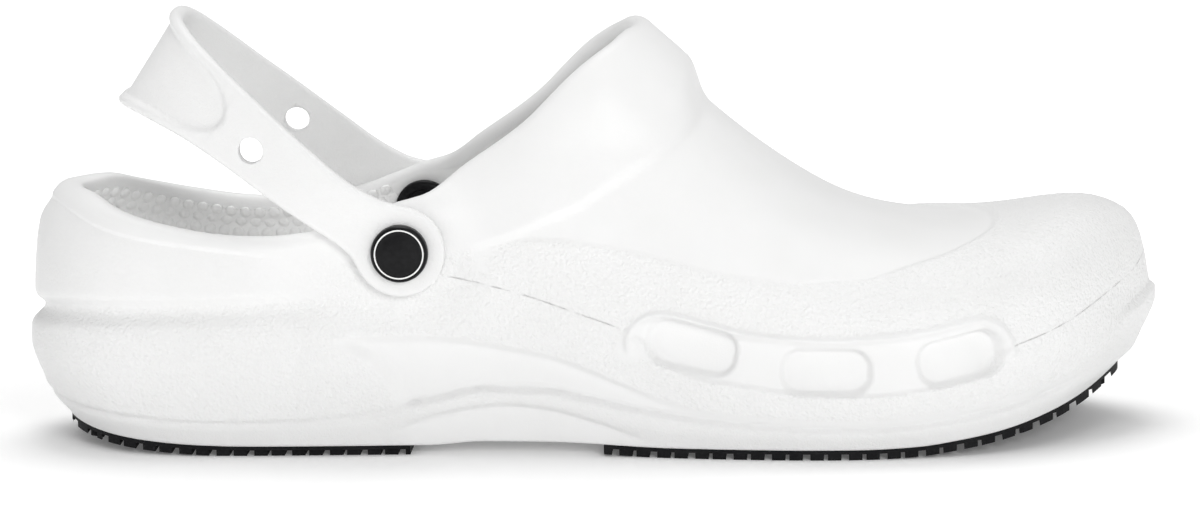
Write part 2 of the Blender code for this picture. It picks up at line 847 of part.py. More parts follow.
def strap_section(share, along):
    """Loop of one section: pairs of (distance across, distance outwards)."""
    upper = row_value(STRAP, 1, share) * EAR_RADIUS
    lower = row_value(STRAP, 2, share) * EAR_RADIUS
    if along < 0:
        round_off = math.sqrt(max(1 - (along / EAR_RADIUS) ** 2, 0.0))
        upper *= round_off
        lower *= round_off
    half = STRAP_THICKNESS / 2
    sunk = float(ease(STRAP_PANEL_AT - EDGE_SOFT, STRAP_PANEL_AT + EDGE_SOFT, along))
    proud = half + STRAP_BEAD
    panel = proud - STRAP_BEAD * sunk
    tall = (upper - lower) / 2
    middle = (upper + lower) / 2
    fit = min(1.0, tall / STRAP_FULL)
    inset = (0, STRAP_ROUND, STRAP_EDGE, STRAP_EDGE + STRAP_BEAD)
    edges = [tall - value * fit for value in inset]
    loop = [
        (middle + edges[0], half * 0.2),
        (middle + edges[1], proud * 0.86),
        (middle + (edges[1] + edges[2]) / 2, proud),
        (middle + edges[2], proud),
        (middle + edges[3], panel),
        (middle - edges[3], panel),
        (middle - edges[2], proud),
        (middle - (edges[1] + edges[2]) / 2, proud),
        (middle - edges[1], proud * 0.86),
        (middle - edges[0], half * 0.2),
        (middle - edges[0] + STRAP_ROUND * fit, -half),
        (middle + edges[0] - STRAP_ROUND * fit, -half),
    ]
    return loop


def strap_point(far, half, across, out_far, out_half, outwards):
    """World position from the strap's own plane."""
    p = far + out_far * outwards
    y = half + out_half * outwards
    x = PIVOT_X - p * math.cos(STRAP_TILT) + across * math.sin(STRAP_TILT)
    z = PIVOT_Z + p * math.sin(STRAP_TILT) + across * math.cos(STRAP_TILT)
    return (x, y, z)


def build_strap(stations):
    """Sweep the section round the band from the lateral to the medial ear."""
    points = []
    faces = []
    sections = 0
    for side in (-1, 1):
        far, half, length = strap_path(side)
        whole = length[-1]
        shares = stations if side < 0 else stations[::-1][1:]
        for share in shares:
            if share < 0:
                along = -EAR_RADIUS * math.sin(-share * math.pi / 2)
            else:
                along = share * whole
            along = max(along, -EAR_RADIUS * 0.985)
            e = 0.0004
            here = [np.interp(along, length, v) for v in (far, half)]
            before = [np.interp(along - e, length, v) for v in (far, half)]
            after = [np.interp(along + e, length, v) for v in (far, half)]
            df, dh = after[0] - before[0], after[1] - before[1]
            if share == 1:
                df, dh = 0.0, -1.0
            size = math.hypot(df, dh)
            out_far, out_half = -dh / size, df / size
            if along < EAR_RADIUS:
                out_far, out_half = 0.0, 1.0
            for across, outwards in strap_section(max(share, 0.0), along):
                points.append(strap_point(
                    here[0], here[1] * side, across, out_far, out_half * side, outwards
                ))
            sections += 1
    size = len(points) // sections
    for r in range(sections - 1):
        for k in range(size):
            n = (k + 1) % size
            faces.append((r * size + k, r * size + n, (r + 1) * size + n, (r + 1) * size + k))
    faces.append(tuple(range(size)))
    faces.append(tuple((sections - 1) * size + k for k in range(size)))
    return points, faces


def strap_cutters():
    """Rivet hole through both ears, and the round hole in each arm."""
    points, faces = disc_stack(
        [(SHAFT_RADIUS + GAP, -HALF_WIDTH), (SHAFT_RADIUS + GAP, HALF_WIDTH)], 20, 1
    )
    sides = 20
    holes = (
        (-1, STRAP_HOLE_AT, STRAP_HOLE_UP),
        (1, STRAP_HOLE_MEDIAL, STRAP_HOLE_MEDIAL_UP),
    )
    for side, at, up in holes:
        start = len(points)
        x = PIVOT_X - at * math.cos(STRAP_TILT) + up * math.sin(STRAP_TILT)
        z = PIVOT_Z + at * math.sin(STRAP_TILT) + up * math.cos(STRAP_TILT)
        for y in (HALF_WIDTH * 0.4, HALF_WIDTH * 1.1):
            for k in range(sides):
                angle = TAU * k / sides
                points.append((
                    x + STRAP_HOLE_RADIUS * math.cos(angle),
                    y * side,
                    z + STRAP_HOLE_RADIUS * math.sin(angle),
                ))
        for k in range(sides):
            n = (k + 1) % sides
            faces.append((start + k, start + n, start + sides + n, start + sides + k))
        faces.append(tuple(start + k for k in range(sides)))
        faces.append(tuple(start + sides + k for k in range(sides)))
    return make_object("strap_cuts", points, faces, None)


def rivet_profiles(seat):
    """Profiles of the black head with its shaft, and of the inner button."""
    face = seat + GAP + STRAP_THICKNESS + STRAP_BEAD + GAP
    inner = seat - WALL - BUTTON_GAP
    head = [
        (SHAFT_RADIUS, inner - BUTTON_HEIGHT * 0.5 + GAP),
        (SHAFT_RADIUS, face),
        (RIVET_RADIUS, face),
        (RIVET_RADIUS, face + RIVET_HEIGHT * 0.55),
        (RIVET_RADIUS * 0.94, face + RIVET_HEIGHT * 0.85),
        (RIVET_RADIUS * 0.82, face + RIVET_HEIGHT),
        (RIVET_RADIUS * 0.74, face + RIVET_HEIGHT * 0.86),
    ]
    button = [
        (SHAFT_RADIUS + GAP, inner - BUTTON_HEIGHT * 0.5),
        (SHAFT_RADIUS + GAP, inner),
        (BUTTON_RADIUS, inner),
        (BUTTON_RADIUS, inner - BUTTON_HEIGHT * 0.6),
        (BUTTON_RADIUS * 0.88, inner - BUTTON_HEIGHT),
    ]
    return head, button


def build_pad(name, start, end, material):
    """Rubber pad: a slab with square lugs, bent to the curve of the sole."""
    phi = np.arange(110) * TAU / 110
    edge = last_point(phi, np.full_like(phi, -1.0))
    along = np.roll(edge, -1, axis=0) - np.roll(edge, 1, axis=0)
    inward = np.stack([-along[:, 1], along[:, 0]], -1)
    inward /= np.linalg.norm(inward, axis=1, keepdims=True)
    ring = edge[:, :2] + inward * PAD_INSET
    outline = [tuple(p) for p in ring if x_of(start) < p[0] < x_of(end)]
    outline = ordered(outline)
    points = [(x, y, z) for z in (0.0, -PAD_THICKNESS) for x, y in outline]
    count = len(outline)
    faces = [tuple(range(count)), tuple(range(count, 2 * count))]
    for k in range(count):
        n = (k + 1) % count
        faces.append((k, n, count + n, count + k))
    pad = make_object(name, points, faces, material)
    low = min(p[0] for p in outline)
    high = max(p[0] for p in outline)
    steps = int((high - low) / LUG_PITCH)
    shift = (high - low - steps * LUG_PITCH) / 2
    cutters = []
    for kind in ("across", "along"):
        boxes = []
        box_faces = []
        lines = []
        if kind == "across":
            lines = [low + shift + LUG_PITCH * i for i in range(steps + 1)]
        else:
            lines = [LUG_WIDTH * (i - 3.5) for i in range(8)]
        for line in lines:
            a, b = line - LUG_GAP / 2, line + LUG_GAP / 2
            if kind == "across":
                spans = ((a, b), (-HALF_WIDTH * 1.5, HALF_WIDTH * 1.5))
            else:
                spans = ((-LENGTH * 0.6, LENGTH * 0.6), (a, b))
            first = len(boxes)
            for z in (-PAD_BASE, -PAD_THICKNESS * 2):
                for cx, cy in ((0, 0), (1, 0), (1, 1), (0, 1)):
                    boxes.append((spans[0][cx], spans[1][cy], z))
            for quad in ((0, 1, 2, 3), (4, 5, 6, 7), (0, 1, 5, 4), (1, 2, 6, 5),
                         (2, 3, 7, 6), (3, 0, 4, 7)):
                box_faces.append(tuple(first + i for i in quad))
        cutter = make_object(name + "_" + kind, boxes, box_faces, None)
        cut_with(pad, cutter)
        cutters.append(cutter)
    settle(pad, cutters)
    work = bmesh.new()
    work.from_mesh(pad.data)
    bends = [low + shift + LUG_PITCH * i for i in range(steps + 1)]
    bends += [x + LUG_PITCH / 2 for x in bends if x > x_of(0.86)]
    flat = (x_of(0.20), x_of(0.345), x_of(0.58), x_of(0.74))
    bends = [x for x in bends if not (flat[0] < x < flat[1] or flat[2] < x < flat[3])]
    for x in bends:
        bmesh.ops.bisect_plane(
            work,
            geom=work.verts[:] + work.edges[:] + work.faces[:],
            plane_co=(x, 0, 0),
            plane_no=(1, 0, 0),
        )
    bmesh.ops.remove_doubles(work, verts=work.verts, dist=2e-5)
    bmesh.ops.triangulate(work, faces=[f for f in work.faces if len(f.verts) > 4])
    spots = np.array([v.co.x for v in work.verts])
    lift = under(station_of(spots)) - GAP
    for vertex, height in zip(work.verts, lift):
        vertex.co.z += float(height)
    work.to_mesh(pad.data)
    work.free()
    return pad


def ordered(outline):
    """Points of an outline sorted round their middle, ends kept straight."""
    middle_x = sum(p[0] for p in outline) / len(outline)
    middle_y = sum(p[1] for p in outline) / len(outline)
    return sorted(outline, key=lambda p: math.atan2(p[1] - middle_y, p[0] - middle_x))


STRAP_STATIONS = [-1.0, -0.8, -0.6, -0.4, -0.2, 0.0, 0.03, 0.06, 0.09, 0.12, 0.19, 0.27, 0.36, 0.45]
STRAP_STATIONS += [0.54, 0.60, 0.66, 0.72, 0.78, 0.84, 0.89, 0.945, 1.0]
strap_points, strap_faces = build_strap(STRAP_STATIONS)
strap = make_object("heel_strap", strap_points, strap_faces, strap_foam, 55)
strap_cuts = strap_cutters()
cut_with(strap, strap_cuts)
settle(strap, (strap_cuts,))

for side, side_name, seat in ((-1, "lateral", SEAT_LATERAL), (1, "medial", SEAT_MEDIAL)):
    head, button = rivet_profiles(seat)
    for kind, profile in (("rivet_cap_", head), ("rivet_button_", button)):
        spots, loops = disc_stack(profile, 20, side)
        material = make_material(kind + side_name + "_plastic", (0.02, 0.02, 0.02), 0.35)
        make_object(kind + side_name, spots, loops, material)

build_pad("outsole_heel", 0.0, HEEL_PAD_END, heel_rubber)
build_pad("outsole_forefoot", FOREFOOT_PAD_START, 1.0, toe_rubber)
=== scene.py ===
"""Looks of the white moulded chef clog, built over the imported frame.

The tables and the virtual last repeat the part's source, so that every fine
surface lies where its solid is. Metres, +Z up, toe at +X, lateral side at -Y.
"""

import math

import bmesh
import bpy
import numpy as np
from mathutils import Matrix, Vector


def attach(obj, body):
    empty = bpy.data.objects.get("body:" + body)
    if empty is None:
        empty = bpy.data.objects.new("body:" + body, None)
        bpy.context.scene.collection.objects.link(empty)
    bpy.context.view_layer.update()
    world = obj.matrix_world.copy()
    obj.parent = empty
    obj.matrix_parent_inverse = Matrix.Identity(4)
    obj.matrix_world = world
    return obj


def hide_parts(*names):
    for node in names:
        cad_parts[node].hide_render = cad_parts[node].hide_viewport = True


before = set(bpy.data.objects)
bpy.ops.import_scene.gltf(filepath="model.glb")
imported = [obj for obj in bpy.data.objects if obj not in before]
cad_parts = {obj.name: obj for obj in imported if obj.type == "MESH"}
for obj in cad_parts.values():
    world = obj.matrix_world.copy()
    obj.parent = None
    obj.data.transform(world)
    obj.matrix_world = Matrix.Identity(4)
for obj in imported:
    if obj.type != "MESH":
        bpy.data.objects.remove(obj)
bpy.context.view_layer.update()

TAU = 2 * math.pi

# Overall sizes
LENGTH = 0.290
HALF_WIDTH = 0.0535
INSTEP_HEIGHT = 0.105

# Body
HEEL_BUMPER = 0.0012
TOE_BUMPER = 0.0017
LAST_LENGTH = LENGTH - HEEL_BUMPER - TOE_BUMPER
LAST_HEEL = HEEL_BUMPER - LENGTH / 2
WALL = 0.0045
SOLE_TUCK = 0.0035
HEEL_TUCK = 0.0046
TOE_TUCK = 0.0042
FOOTBED_FILLET = 0.007
GROOVE_DEPTH = 0.0026
GROOVE_SPREAD = 0.0026
COLLAR_STEP = 0.0009
COLLAR_ROLL = 0.0039

# Strap and rivets
PIVOT_X = LENGTH * (0.34345 - 0.5)
PIVOT_Z = INSTEP_HEIGHT * 0.5019
GAP = 0.0003
BUTTON_GAP = 0.0005
SEAT_RADIUS = 0.0138
SEAT_FADE = 0.0120
SEAT_STRETCH = 1.8
STRAP_TILT = math.radians(33)
STRAP_REACH = 0.0820
STRAP_THICKNESS = 0.0025
STRAP_BEAD = 0.0013
EAR_RADIUS = 0.0112
STRAP_HOLE_RADIUS = 0.0032
STRAP_HOLE_AT = 0.0452
STRAP_HOLE_MEDIAL = 0.0408
STRAP_HOLE_UP = 0.0007
STRAP_HOLE_MEDIAL_UP = 0.0021
STRAP_PANEL_AT = 0.0570
STRAP_POWER = 3.0
STRAP_CLOSE = 0.010
RIVET_RADIUS = 0.0072
RIVET_HEIGHT = 0.0030
SHAFT_RADIUS = 0.0025
BUTTON_RADIUS = 0.0075
BUTTON_HEIGHT = 0.0022
BUTTON_ROOM = 0.0020

# Rubber pads under the sole
PAD_BASE = 0.0008
LUG_HEIGHT = 0.0015
PAD_THICKNESS = PAD_BASE + LUG_HEIGHT
LUG_PITCH = 0.0096
SOLE_STACK = PAD_THICKNESS + GAP

# Plan of the widest line of the wall. Station is a share of LAST_LENGTH from
# the heel, and the half widths are shares of HALF_WIDTH.
PLAN = (
    # station, lateral, medial
    (0, 0.01, -0.01), (0.02, 0.388, 0.368), (0.07, 0.64, 0.612), (0.16, 0.752, 0.733),
    (0.28, 0.775, 0.73), (0.4, 0.775, 0.712), (0.5, 0.834, 0.778), (0.6, 0.931, 0.905),
    (0.7, 0.996, 0.996), (0.78, 0.978, 0.985), (0.86, 0.86, 0.905), (0.94, 0.545, 0.7),
    (0.985, 0.165, 0.405), (1, -0.121, 0.121),
)

# Crown is the top of the virtual last over the shoulder line, a share of
# INSTEP_HEIGHT. It runs on over the open collar.
CROWN = (
    # station, crown
    (0, 0.34), (0.0045, 0.513), (0.0136, 0.575), (0.023, 0.611), (0.04, 0.655),
    (0.0738, 0.755), (0.105, 0.82), (0.14, 0.838), (0.2, 0.825), (0.2745, 0.805),
    (0.337, 0.812), (0.38, 0.84), (0.4277, 0.935), (0.4556, 1.01), (0.49, 1.06),
    (0.518, 1.035), (0.5413, 0.973), (0.567, 0.908), (0.601, 0.817), (0.6364, 0.731),
    (0.689, 0.625), (0.7245, 0.57), (0.76, 0.537), (0.7955, 0.522), (0.8666, 0.526),
    (0.9021, 0.541), (0.9377, 0.55), (0.9732, 0.526), (0.991, 0.468), (1, 0.34),
)

# Shoulder is the height of the widest line: heel groove, parting line, top
# of the vent band and toe bumper. Squareness is the power of the section.
SHOULDER = (
    # station, shoulder, squareness, ridge
    (0, 0.332, 2, 0), (0.045, 0.355, 2, 0), (0.1, 0.362, 2, 0), (0.2, 0.37, 2, 0),
    (0.3, 0.395, 2, 0), (0.38, 0.42, 2.05, 0), (0.455, 0.385, 2.2, 0), (0.52, 0.34, 2.3, 0),
    (0.62, 0.315, 2.3, 0.015), (0.72, 0.29, 2.3, 0.04), (0.8, 0.3, 2.4, 0.065),
    (0.88, 0.322, 2.5, 0.08), (0.94, 0.332, 2.5, 0.1), (1, 0.34, 2.5, 0.121),
)

# Underside and footbed, shares of INSTEP_HEIGHT. Rise is above the flat of the pads.
SOLE = (
    # station, rise, footbed
    (0, 0.064, 0.262), (0.03, 0.041, 0.245), (0.07, 0.021, 0.232), (0.11, 0.01, 0.228),
    (0.165, 0.002, 0.228), (0.2, 0, 0.227), (0.362, 0, 0.216), (0.41, 0.009, 0.207),
    (0.465, 0.009, 0.196), (0.58, 0, 0.172), (0.74, 0, 0.162), (0.79, 0.004, 0.166),
    (0.83, 0.016, 0.178), (0.865, 0.03, 0.194), (0.9, 0.051, 0.213), (0.935, 0.079, 0.236),
    (0.97, 0.121, 0.27), (1, 0.16, 0.3),
)

# Line of the collar. Turn is the column's angle in degrees, 0 at the toe and
# 180 at the heel. Radius is that of the outer half of the rim over
# INSTEP_HEIGHT; inner is the width of its inner half over the radius.
COLLAR = (
    # turn, station, radius, inner
    (0, 0.546, 0.029, 1), (40, 0.5375, 0.029, 1), (60, 0.525, 0.029, 1),
    (75, 0.504, 0.0295, 1), (85, 0.4765, 0.029, 1), (95, 0.428, 0.0265, 1),
    (105, 0.365, 0.0245, 1), (115, 0.295, 0.026, 1), (130, 0.18, 0.035, 0.8),
    (150, 0.079, 0.04, 0.5), (165, 0.037, 0.0435, 0.36), (180, 0.023, 0.0445, 0.32),
)

# Height of the outer edge of the rim, a share of INSTEP_HEIGHT
RIM = (
    # station, height
    (0.023, 0.611), (0.0474, 0.6), (0.0738, 0.572), (0.1014, 0.55), (0.127, 0.534),
    (0.177, 0.513), (0.2257, 0.507), (0.264, 0.518), (0.288, 0.535), (0.3187, 0.566),
    (0.337, 0.586), (0.3755, 0.638), (0.4033, 0.689), (0.435, 0.746), (0.4566, 0.788),
    (0.479, 0.838), (0.508, 0.903), (0.527, 0.938), (0.5413, 0.96), (0.546, 0.96),
)

# Heel strap along its path from the lateral ear. Upper and lower edges are
# shares of EAR_RADIUS, measured across the band.
STRAP = (
    # share of half path, upper, lower
    (0, 1, -1), (0.03, 0.97, -0.97), (0.06, 0.89, -0.87), (0.09, 0.8, -0.72),
    (0.12, 0.74, -0.63), (0.19, 0.7, -0.6), (0.33, 0.81, -0.61), (0.48, 0.97, -0.59),
    (0.62, 1.12, -0.64), (0.76, 1.29, -0.8), (0.88, 1.41, -1), (1, 1.45, -1.17),
)


def column(rows, index):
    """One column of a table."""
    return np.array([row[index] for row in rows], float)


def ease(low, high, value):
    """Smooth step from 0 at low to 1 at high."""
    share = np.clip((value - low) / (high - low), 0, 1)
    return share * share * (3 - 2 * share)


def unit(vectors):
    """Vectors of length one."""
    return vectors / np.linalg.norm(vectors, axis=-1, keepdims=True)


def hump(away, width):
    """Bell curve over a distance."""
    return np.exp(-((away / width) ** 2))


def running(steps):
    """Running total from zero, along the first axis."""
    return np.concatenate([np.zeros((1, *steps.shape[1:])), np.cumsum(steps, axis=0)])


def path_lengths(path):
    """Distance along rows of points, from the first row."""
    return running(np.linalg.norm(np.diff(path, axis=0), axis=-1))


def point_at(distance, reach, path):
    """Point of a path at a distance along it."""
    return [np.interp(distance, reach, path[:, c]) for c in range(3)]


def round_loop(points):
    """Direction along a closed row of points, at each of them."""
    return np.roll(points, -1, axis=0) - np.roll(points, 1, axis=0)


def between(stations, values, at):
    """Monotone cubic curve through the rows of a table."""
    step = np.diff(stations)
    slope = np.diff(values) / step
    lean = np.zeros(len(stations))
    lean[0] = slope[0]
    lean[-1] = slope[-1]
    for i in range(1, len(stations) - 1):
        if slope[i - 1] * slope[i] > 0:
            first = 2 * step[i] + step[i - 1]
            second = step[i] + 2 * step[i - 1]
            lean[i] = (first + second) / (first / slope[i - 1] + second / slope[i])
    at = np.clip(at, stations[0], stations[-1])
    i = np.clip(np.searchsorted(stations, at) - 1, 0, len(step) - 1)
    t = (at - stations[i]) / step[i]
    return (
        values[i] * (1 + 2 * t) * (1 - t) ** 2
        + values[i + 1] * t * t * (3 - 2 * t)
        + step[i] * lean[i] * t * (1 - t) ** 2
        + step[i] * lean[i + 1] * t * t * (t - 1)
    )


def loop_spline(knots, values):
    """Closed cubic spline over angles; gives its value at any angle."""
    count = len(knots)
    step = np.diff(np.append(knots, knots[0] + TAU))
    slope = (np.roll(values, -1) - values) / step
    grid = np.zeros((count, count))
    for i in range(count):
        grid[i, i - 1] += step[i - 1]
        grid[i, i] += 2 * (step[i - 1] + step[i])
        grid[i, (i + 1) % count] += step[i]
    bend = np.linalg.solve(grid, 6 * (slope - np.roll(slope, 1)))

    def at(angle):
        angle = np.mod(angle - knots[0], TAU) + knots[0]
        i = np.clip(np.searchsorted(knots, angle, side="right") - 1, 0, count - 1)
        j = (i + 1) % count
        a = angle - knots[i]
        b = step[i] - a
        return (
            (bend[i] * b**3 + bend[j] * a**3) / (6 * step[i])
            + (values[i] / step[i] - bend[i] * step[i] / 6) * b
            + (values[j] / step[i] - bend[j] * step[i] / 6) * a
        )

    return at


def closed_curve(turns, near_zero, past_half):
    """Closed spline from values on the medial half and on the lateral half.

    The rows run from the toe, turn 0, to the heel, turn pi.
    """
    knots = np.concatenate([turns, TAU - turns[-2:0:-1]])
    values = np.concatenate([near_zero, past_half[-2:0:-1]])
    return loop_spline(knots, values)


def turn_of(station):
    """Angle of a column whose outline point is at this station."""
    return np.arccos(np.clip(2 * station - 1, -1, 1))


def by_station(rows, index):
    """Even closed spline of one column of a table kept by station."""
    turns = turn_of(column(rows, 0))[::-1]
    values = column(rows, index)[::-1]
    return closed_curve(turns, values, values)


def by_turn(rows, index):
    """Even closed spline of one column of a table kept by turn in degrees."""
    values = column(rows, index)
    return closed_curve(np.radians(column(rows, 0)), values, values)


plan_y = closed_curve(
    turn_of(column(PLAN, 0))[::-1],
    column(PLAN, 2)[::-1] * HALF_WIDTH,
    -column(PLAN, 1)[::-1] * HALF_WIDTH,
)
crown_at = by_station(CROWN, 1)
collar_station, collar_radius, collar_inner = (by_turn(COLLAR, i) for i in (1, 2, 3))


def station_of(x):
    return np.clip((x - LAST_HEEL) / LAST_LENGTH, 0, 1)


def x_of(station):
    return LAST_HEEL + station * LAST_LENGTH


def from_heel(x):
    """Distance from the heel end in millimetres."""
    return (x + LENGTH / 2) * 1000


def row_value(rows, index, at):
    """Column of a table at a station, or at a distance from the heel end."""
    return between(column(rows, 0), column(rows, index), at)


def shoulder(station):
    return row_value(SHOULDER, 1, station) * INSTEP_HEIGHT


def under(station):
    """Height of the underside of the body over the ground."""
    return SOLE_STACK + row_value(SOLE, 1, station) * INSTEP_HEIGHT


def footbed(station):
    return row_value(SOLE, 2, station) * INSTEP_HEIGHT


def height_at(curve, x):
    """One height of the underside or of the footbed."""
    return float(curve(station_of(np.array([x])))[0])


def edges(station):
    """Medial and lateral edge of the plan."""
    turn = turn_of(station)
    return plan_y(turn), plan_y(TAU - turn)


def section(station):
    """Shoulder height, rise over it, squareness and ridge of the dome."""
    low = shoulder(station)
    tall = crown_at(turn_of(station)) * INSTEP_HEIGHT - low
    ridge = row_value(SHOULDER, 3, station) * HALF_WIDTH
    return low, tall, row_value(SHOULDER, 2, station), ridge


def dome(x, y):
    """Height of the virtual last over a point of the plan."""
    station = station_of(x)
    low, tall, power, ridge = section(station)
    medial, lateral = edges(station)
    width = np.where(y > ridge, medial - ridge, ridge - lateral)
    share = np.clip(np.abs(y - ridge) / np.maximum(width, 1e-6), 0, 1)
    return low + tall * (1 - share**power) ** (1 / power)


def seat_distance(x, z):
    """Distance from the pivot; the seat reaches further back, under the arm."""
    back = (x - PIVOT_X) / np.where(x < PIVOT_X, SEAT_STRETCH, 1)
    return np.hypot(back, z - PIVOT_Z)


def collar_plan(phi):
    """Plan position of the outer edge of the rim on each column."""
    station = collar_station(phi)
    low, tall, power, ridge = section(station)
    height = row_value(RIM, 1, station) * INSTEP_HEIGHT - low
    share = np.clip(1 - np.clip(height / tall, 0, 1) ** power, 0, 1) ** (1 / power)
    medial, lateral = edges(station)
    side = np.where(np.mod(phi, TAU) <= math.pi, medial, lateral)
    return x_of(station), ridge + (side - ridge) * share


def last_point(phi, tau):
    """Point of the plain wall.

    tau runs from -1 at the sole edge, through 0 at the shoulder line, to 1
    at the rim.
    """
    x0 = LAST_HEEL + LAST_LENGTH * (1 + np.cos(phi)) / 2
    y0 = plan_y(phi)
    # upper: straight in plan from the outline to the collar
    kx, ky = collar_plan(phi)
    run = 1 - np.cos(np.clip(tau, 0, 1.02) * math.pi / 2)
    ux = x0 + (kx - x0) * run
    uy = y0 + (ky - y0) * run
    uz = dome(ux, uy)
    # lower: turns in towards the sole edge
    e = 0.01
    dx = -LAST_LENGTH / 2 * np.sin(phi)
    dy = (plan_y(phi + e) - plan_y(phi - e)) / (2 * e)
    long = np.hypot(dx, dy)
    nx, ny = dy / long, -dx / long
    end = (1 + np.cos(phi)) / 2
    tuck = SOLE_TUCK + HEEL_TUCK * ease(0.16, 0.0, end) + TOE_TUCK * ease(0.84, 1.0, end)
    down = np.clip(-tau, 0, 1)
    top = shoulder(end)
    full = 0.62 + 0.15 * ease(0.7, 1.0, end)
    turn_in = np.clip((down - (1 - full)) / full, 0, 1) ** 1.4
    lx = x0 - nx * tuck * turn_in
    ly = y0 - ny * tuck * turn_in
    sole = under(station_of(lx))
    lz = top + (sole - top) * down
    upper = tau > 0
    x = np.where(upper, ux, lx)
    y = np.where(upper, uy, ly)
    z = np.where(upper, uz, lz)
    # flat seats of the strap ears
    for sign, seat in ((-1, SEAT_LATERAL), (1, SEAT_MEDIAL)):
        away = seat_distance(x, z)
        pull = ease(SEAT_RADIUS + SEAT_FADE, SEAT_RADIUS, away) * (y * sign > 0)
        pull = pull * ease(PIVOT_Z + SEAT_FADE * 1.7, PIVOT_Z + SEAT_FADE * 0.8, z)
        y = y + (seat * sign - y) * pull
    return np.stack([x, y, z], -1)


def seat_height(side):
    """Half width of the wall at the pivot on one side, +1 medial."""
    station = station_of(np.array([PIVOT_X]))
    low, tall, _, _ = section(station)
    share = np.sqrt(1 - ((PIVOT_Z - low) / tall) ** 2)
    medial, lateral = edges(station)
    return abs(float(((medial if side > 0 else lateral) * share)[0]))


SEAT_LATERAL = seat_height(-1)
SEAT_MEDIAL = seat_height(1)


def frame_at(phi, tau):
    """Point and outward normal of the plain wall."""
    e = 0.004
    point = last_point(phi, tau)
    along = last_point(phi + e, tau) - last_point(phi - e, tau)
    high = np.minimum(tau + e, 1.01)
    low = np.maximum(tau - e, -1)
    up = last_point(phi, high) - last_point(phi, low)
    return point, unit(np.cross(along, up))


def rim_rows(phi, steps):
    """Rounded rim, from the outer edge over to the inner one."""
    one = np.ones_like(phi)
    point, normal = frame_at(phi, one)
    height = relief(point, one)
    edge = point + normal * height[:, None]
    radius = collar_radius(phi) * INSTEP_HEIGHT
    inner = radius * np.clip(collar_inner(phi), 0.3, 1.0)
    along = unit(round_loop(edge))
    up = unit(np.cross(along, normal))
    up *= np.sign(up[:, 2:3])
    centre = edge - normal * radius[:, None]
    rows = []
    for i in range(1, steps + 1):
        angle = math.pi * i / steps
        reach = radius if math.cos(angle) > 0 else inner
        rows.append(
            centre
            + normal * (reach * math.cos(angle))[:, None]
            + up * (radius * math.sin(angle))[:, None]
        )
    return rows, radius + inner - height


def lining_rows(phi, rim_thickness, count, fillet_steps):
    """Inner rows from the rim down to the edge of the footbed."""
    samples = []
    for tau in np.linspace(1, -0.8, 73):
        point, normal = frame_at(phi, np.full_like(phi, tau))
        away = seat_distance(point[:, 0], point[:, 2])
        free = ease(BUTTON_RADIUS + BUTTON_ROOM, BUTTON_RADIUS + BUTTON_ROOM * 2, away)
        blend = ease(0.66, 1.0, tau) * free
        thick = WALL + (rim_thickness - WALL) * blend
        samples.append(point - normal * thick[:, None])
    samples = np.array(samples)
    rows = [np.zeros((len(phi), 3)) for _ in range(count + fillet_steps)]
    for i in range(len(phi)):
        path = samples[:, i]
        drop = np.maximum.accumulate(path[0, 2] - path[:, 2])
        floor = footbed(station_of(path[:, 0]))
        over = path[:, 2] - floor
        last = int(np.argmax(over < FOOTBED_FILLET))
        share = (over[last - 1] - FOOTBED_FILLET) / (over[last - 1] - over[last])
        reach = path_lengths(path)
        end = reach[last - 1] + share * (reach[last] - reach[last - 1])
        wanted = np.linspace(0, 1, count + 1)[1:] * end
        for k, value in enumerate(wanted):
            rows[k][i] = point_at(value, reach, path)
    base = rows[count - 1]
    along = round_loop(base)
    inward = unit(np.stack([-along[:, 1], along[:, 0]], -1))
    centre = base[:, :2].mean(axis=0)
    flip = np.sign(np.sum(inward * (centre - base[:, :2]), axis=1))
    inward *= np.where(flip == 0, 1, flip)[:, None]
    for k in range(1, fillet_steps + 1):
        angle = math.pi / 2 * k / fillet_steps
        row = base.copy()
        row[:, :2] += inward * FOOTBED_FILLET * (1 - math.cos(angle))
        lift = FOOTBED_FILLET * (1 - math.sin(angle))
        row[:, 2] = footbed(station_of(row[:, 0])) + lift
        rows[count + k - 1] = row
    return rows


def close_across(points, faces, ring, heights, parts):
    """Close a ring of columns with strips from the medial to the lateral side."""
    count = len(ring)
    lines = [[ring[0]]]
    for i in range(1, count // 2):
        left = np.array(points[ring[i]])
        right = np.array(points[ring[count - i]])
        line = [ring[i]]
        for j in range(1, parts):
            spot = left + (right - left) * j / parts
            spot[2] = height_at(heights, spot[0])
            line.append(len(points))
            points.append(tuple(spot))
        line.append(ring[count - i])
        lines.append(line)
    lines.append([ring[count // 2]])
    for a, b in zip(lines[:-1], lines[1:]):
        for j in range(parts):
            if len(a) == 1:
                faces.append((a[0], b[j], b[j + 1]))
            elif len(b) == 1:
                faces.append((a[j], b[0], a[j + 1]))
            else:
                faces.append((a[j], b[j], b[j + 1], a[j + 1]))


def strap_path(side):
    """Dense centre line of one half of the band, from its ear to the back.

    Gives the distance towards the back, the half width, and the distance
    along the band measured from the pivot.
    """
    reach = STRAP_REACH - STRAP_THICKNESS / 2 - STRAP_BEAD
    seat = SEAT_MEDIAL if side > 0 else SEAT_LATERAL
    wide = seat + GAP + STRAP_THICKNESS / 2
    turn = np.linspace(0, 1, 400)
    far = reach * np.sin(turn * math.pi / 2) ** (2 / STRAP_POWER)
    far = np.concatenate([np.linspace(-EAR_RADIUS, -0.0002, 40), far])
    near = np.clip(far, 0, reach) / reach
    close = STRAP_CLOSE * ease(0.20, 0.95, near)
    half = (wide - close) * (1 - near**STRAP_POWER) ** (1 / STRAP_POWER)
    length = running(np.hypot(np.diff(far), np.diff(half)))
    return far, half, length - EAR_RADIUS


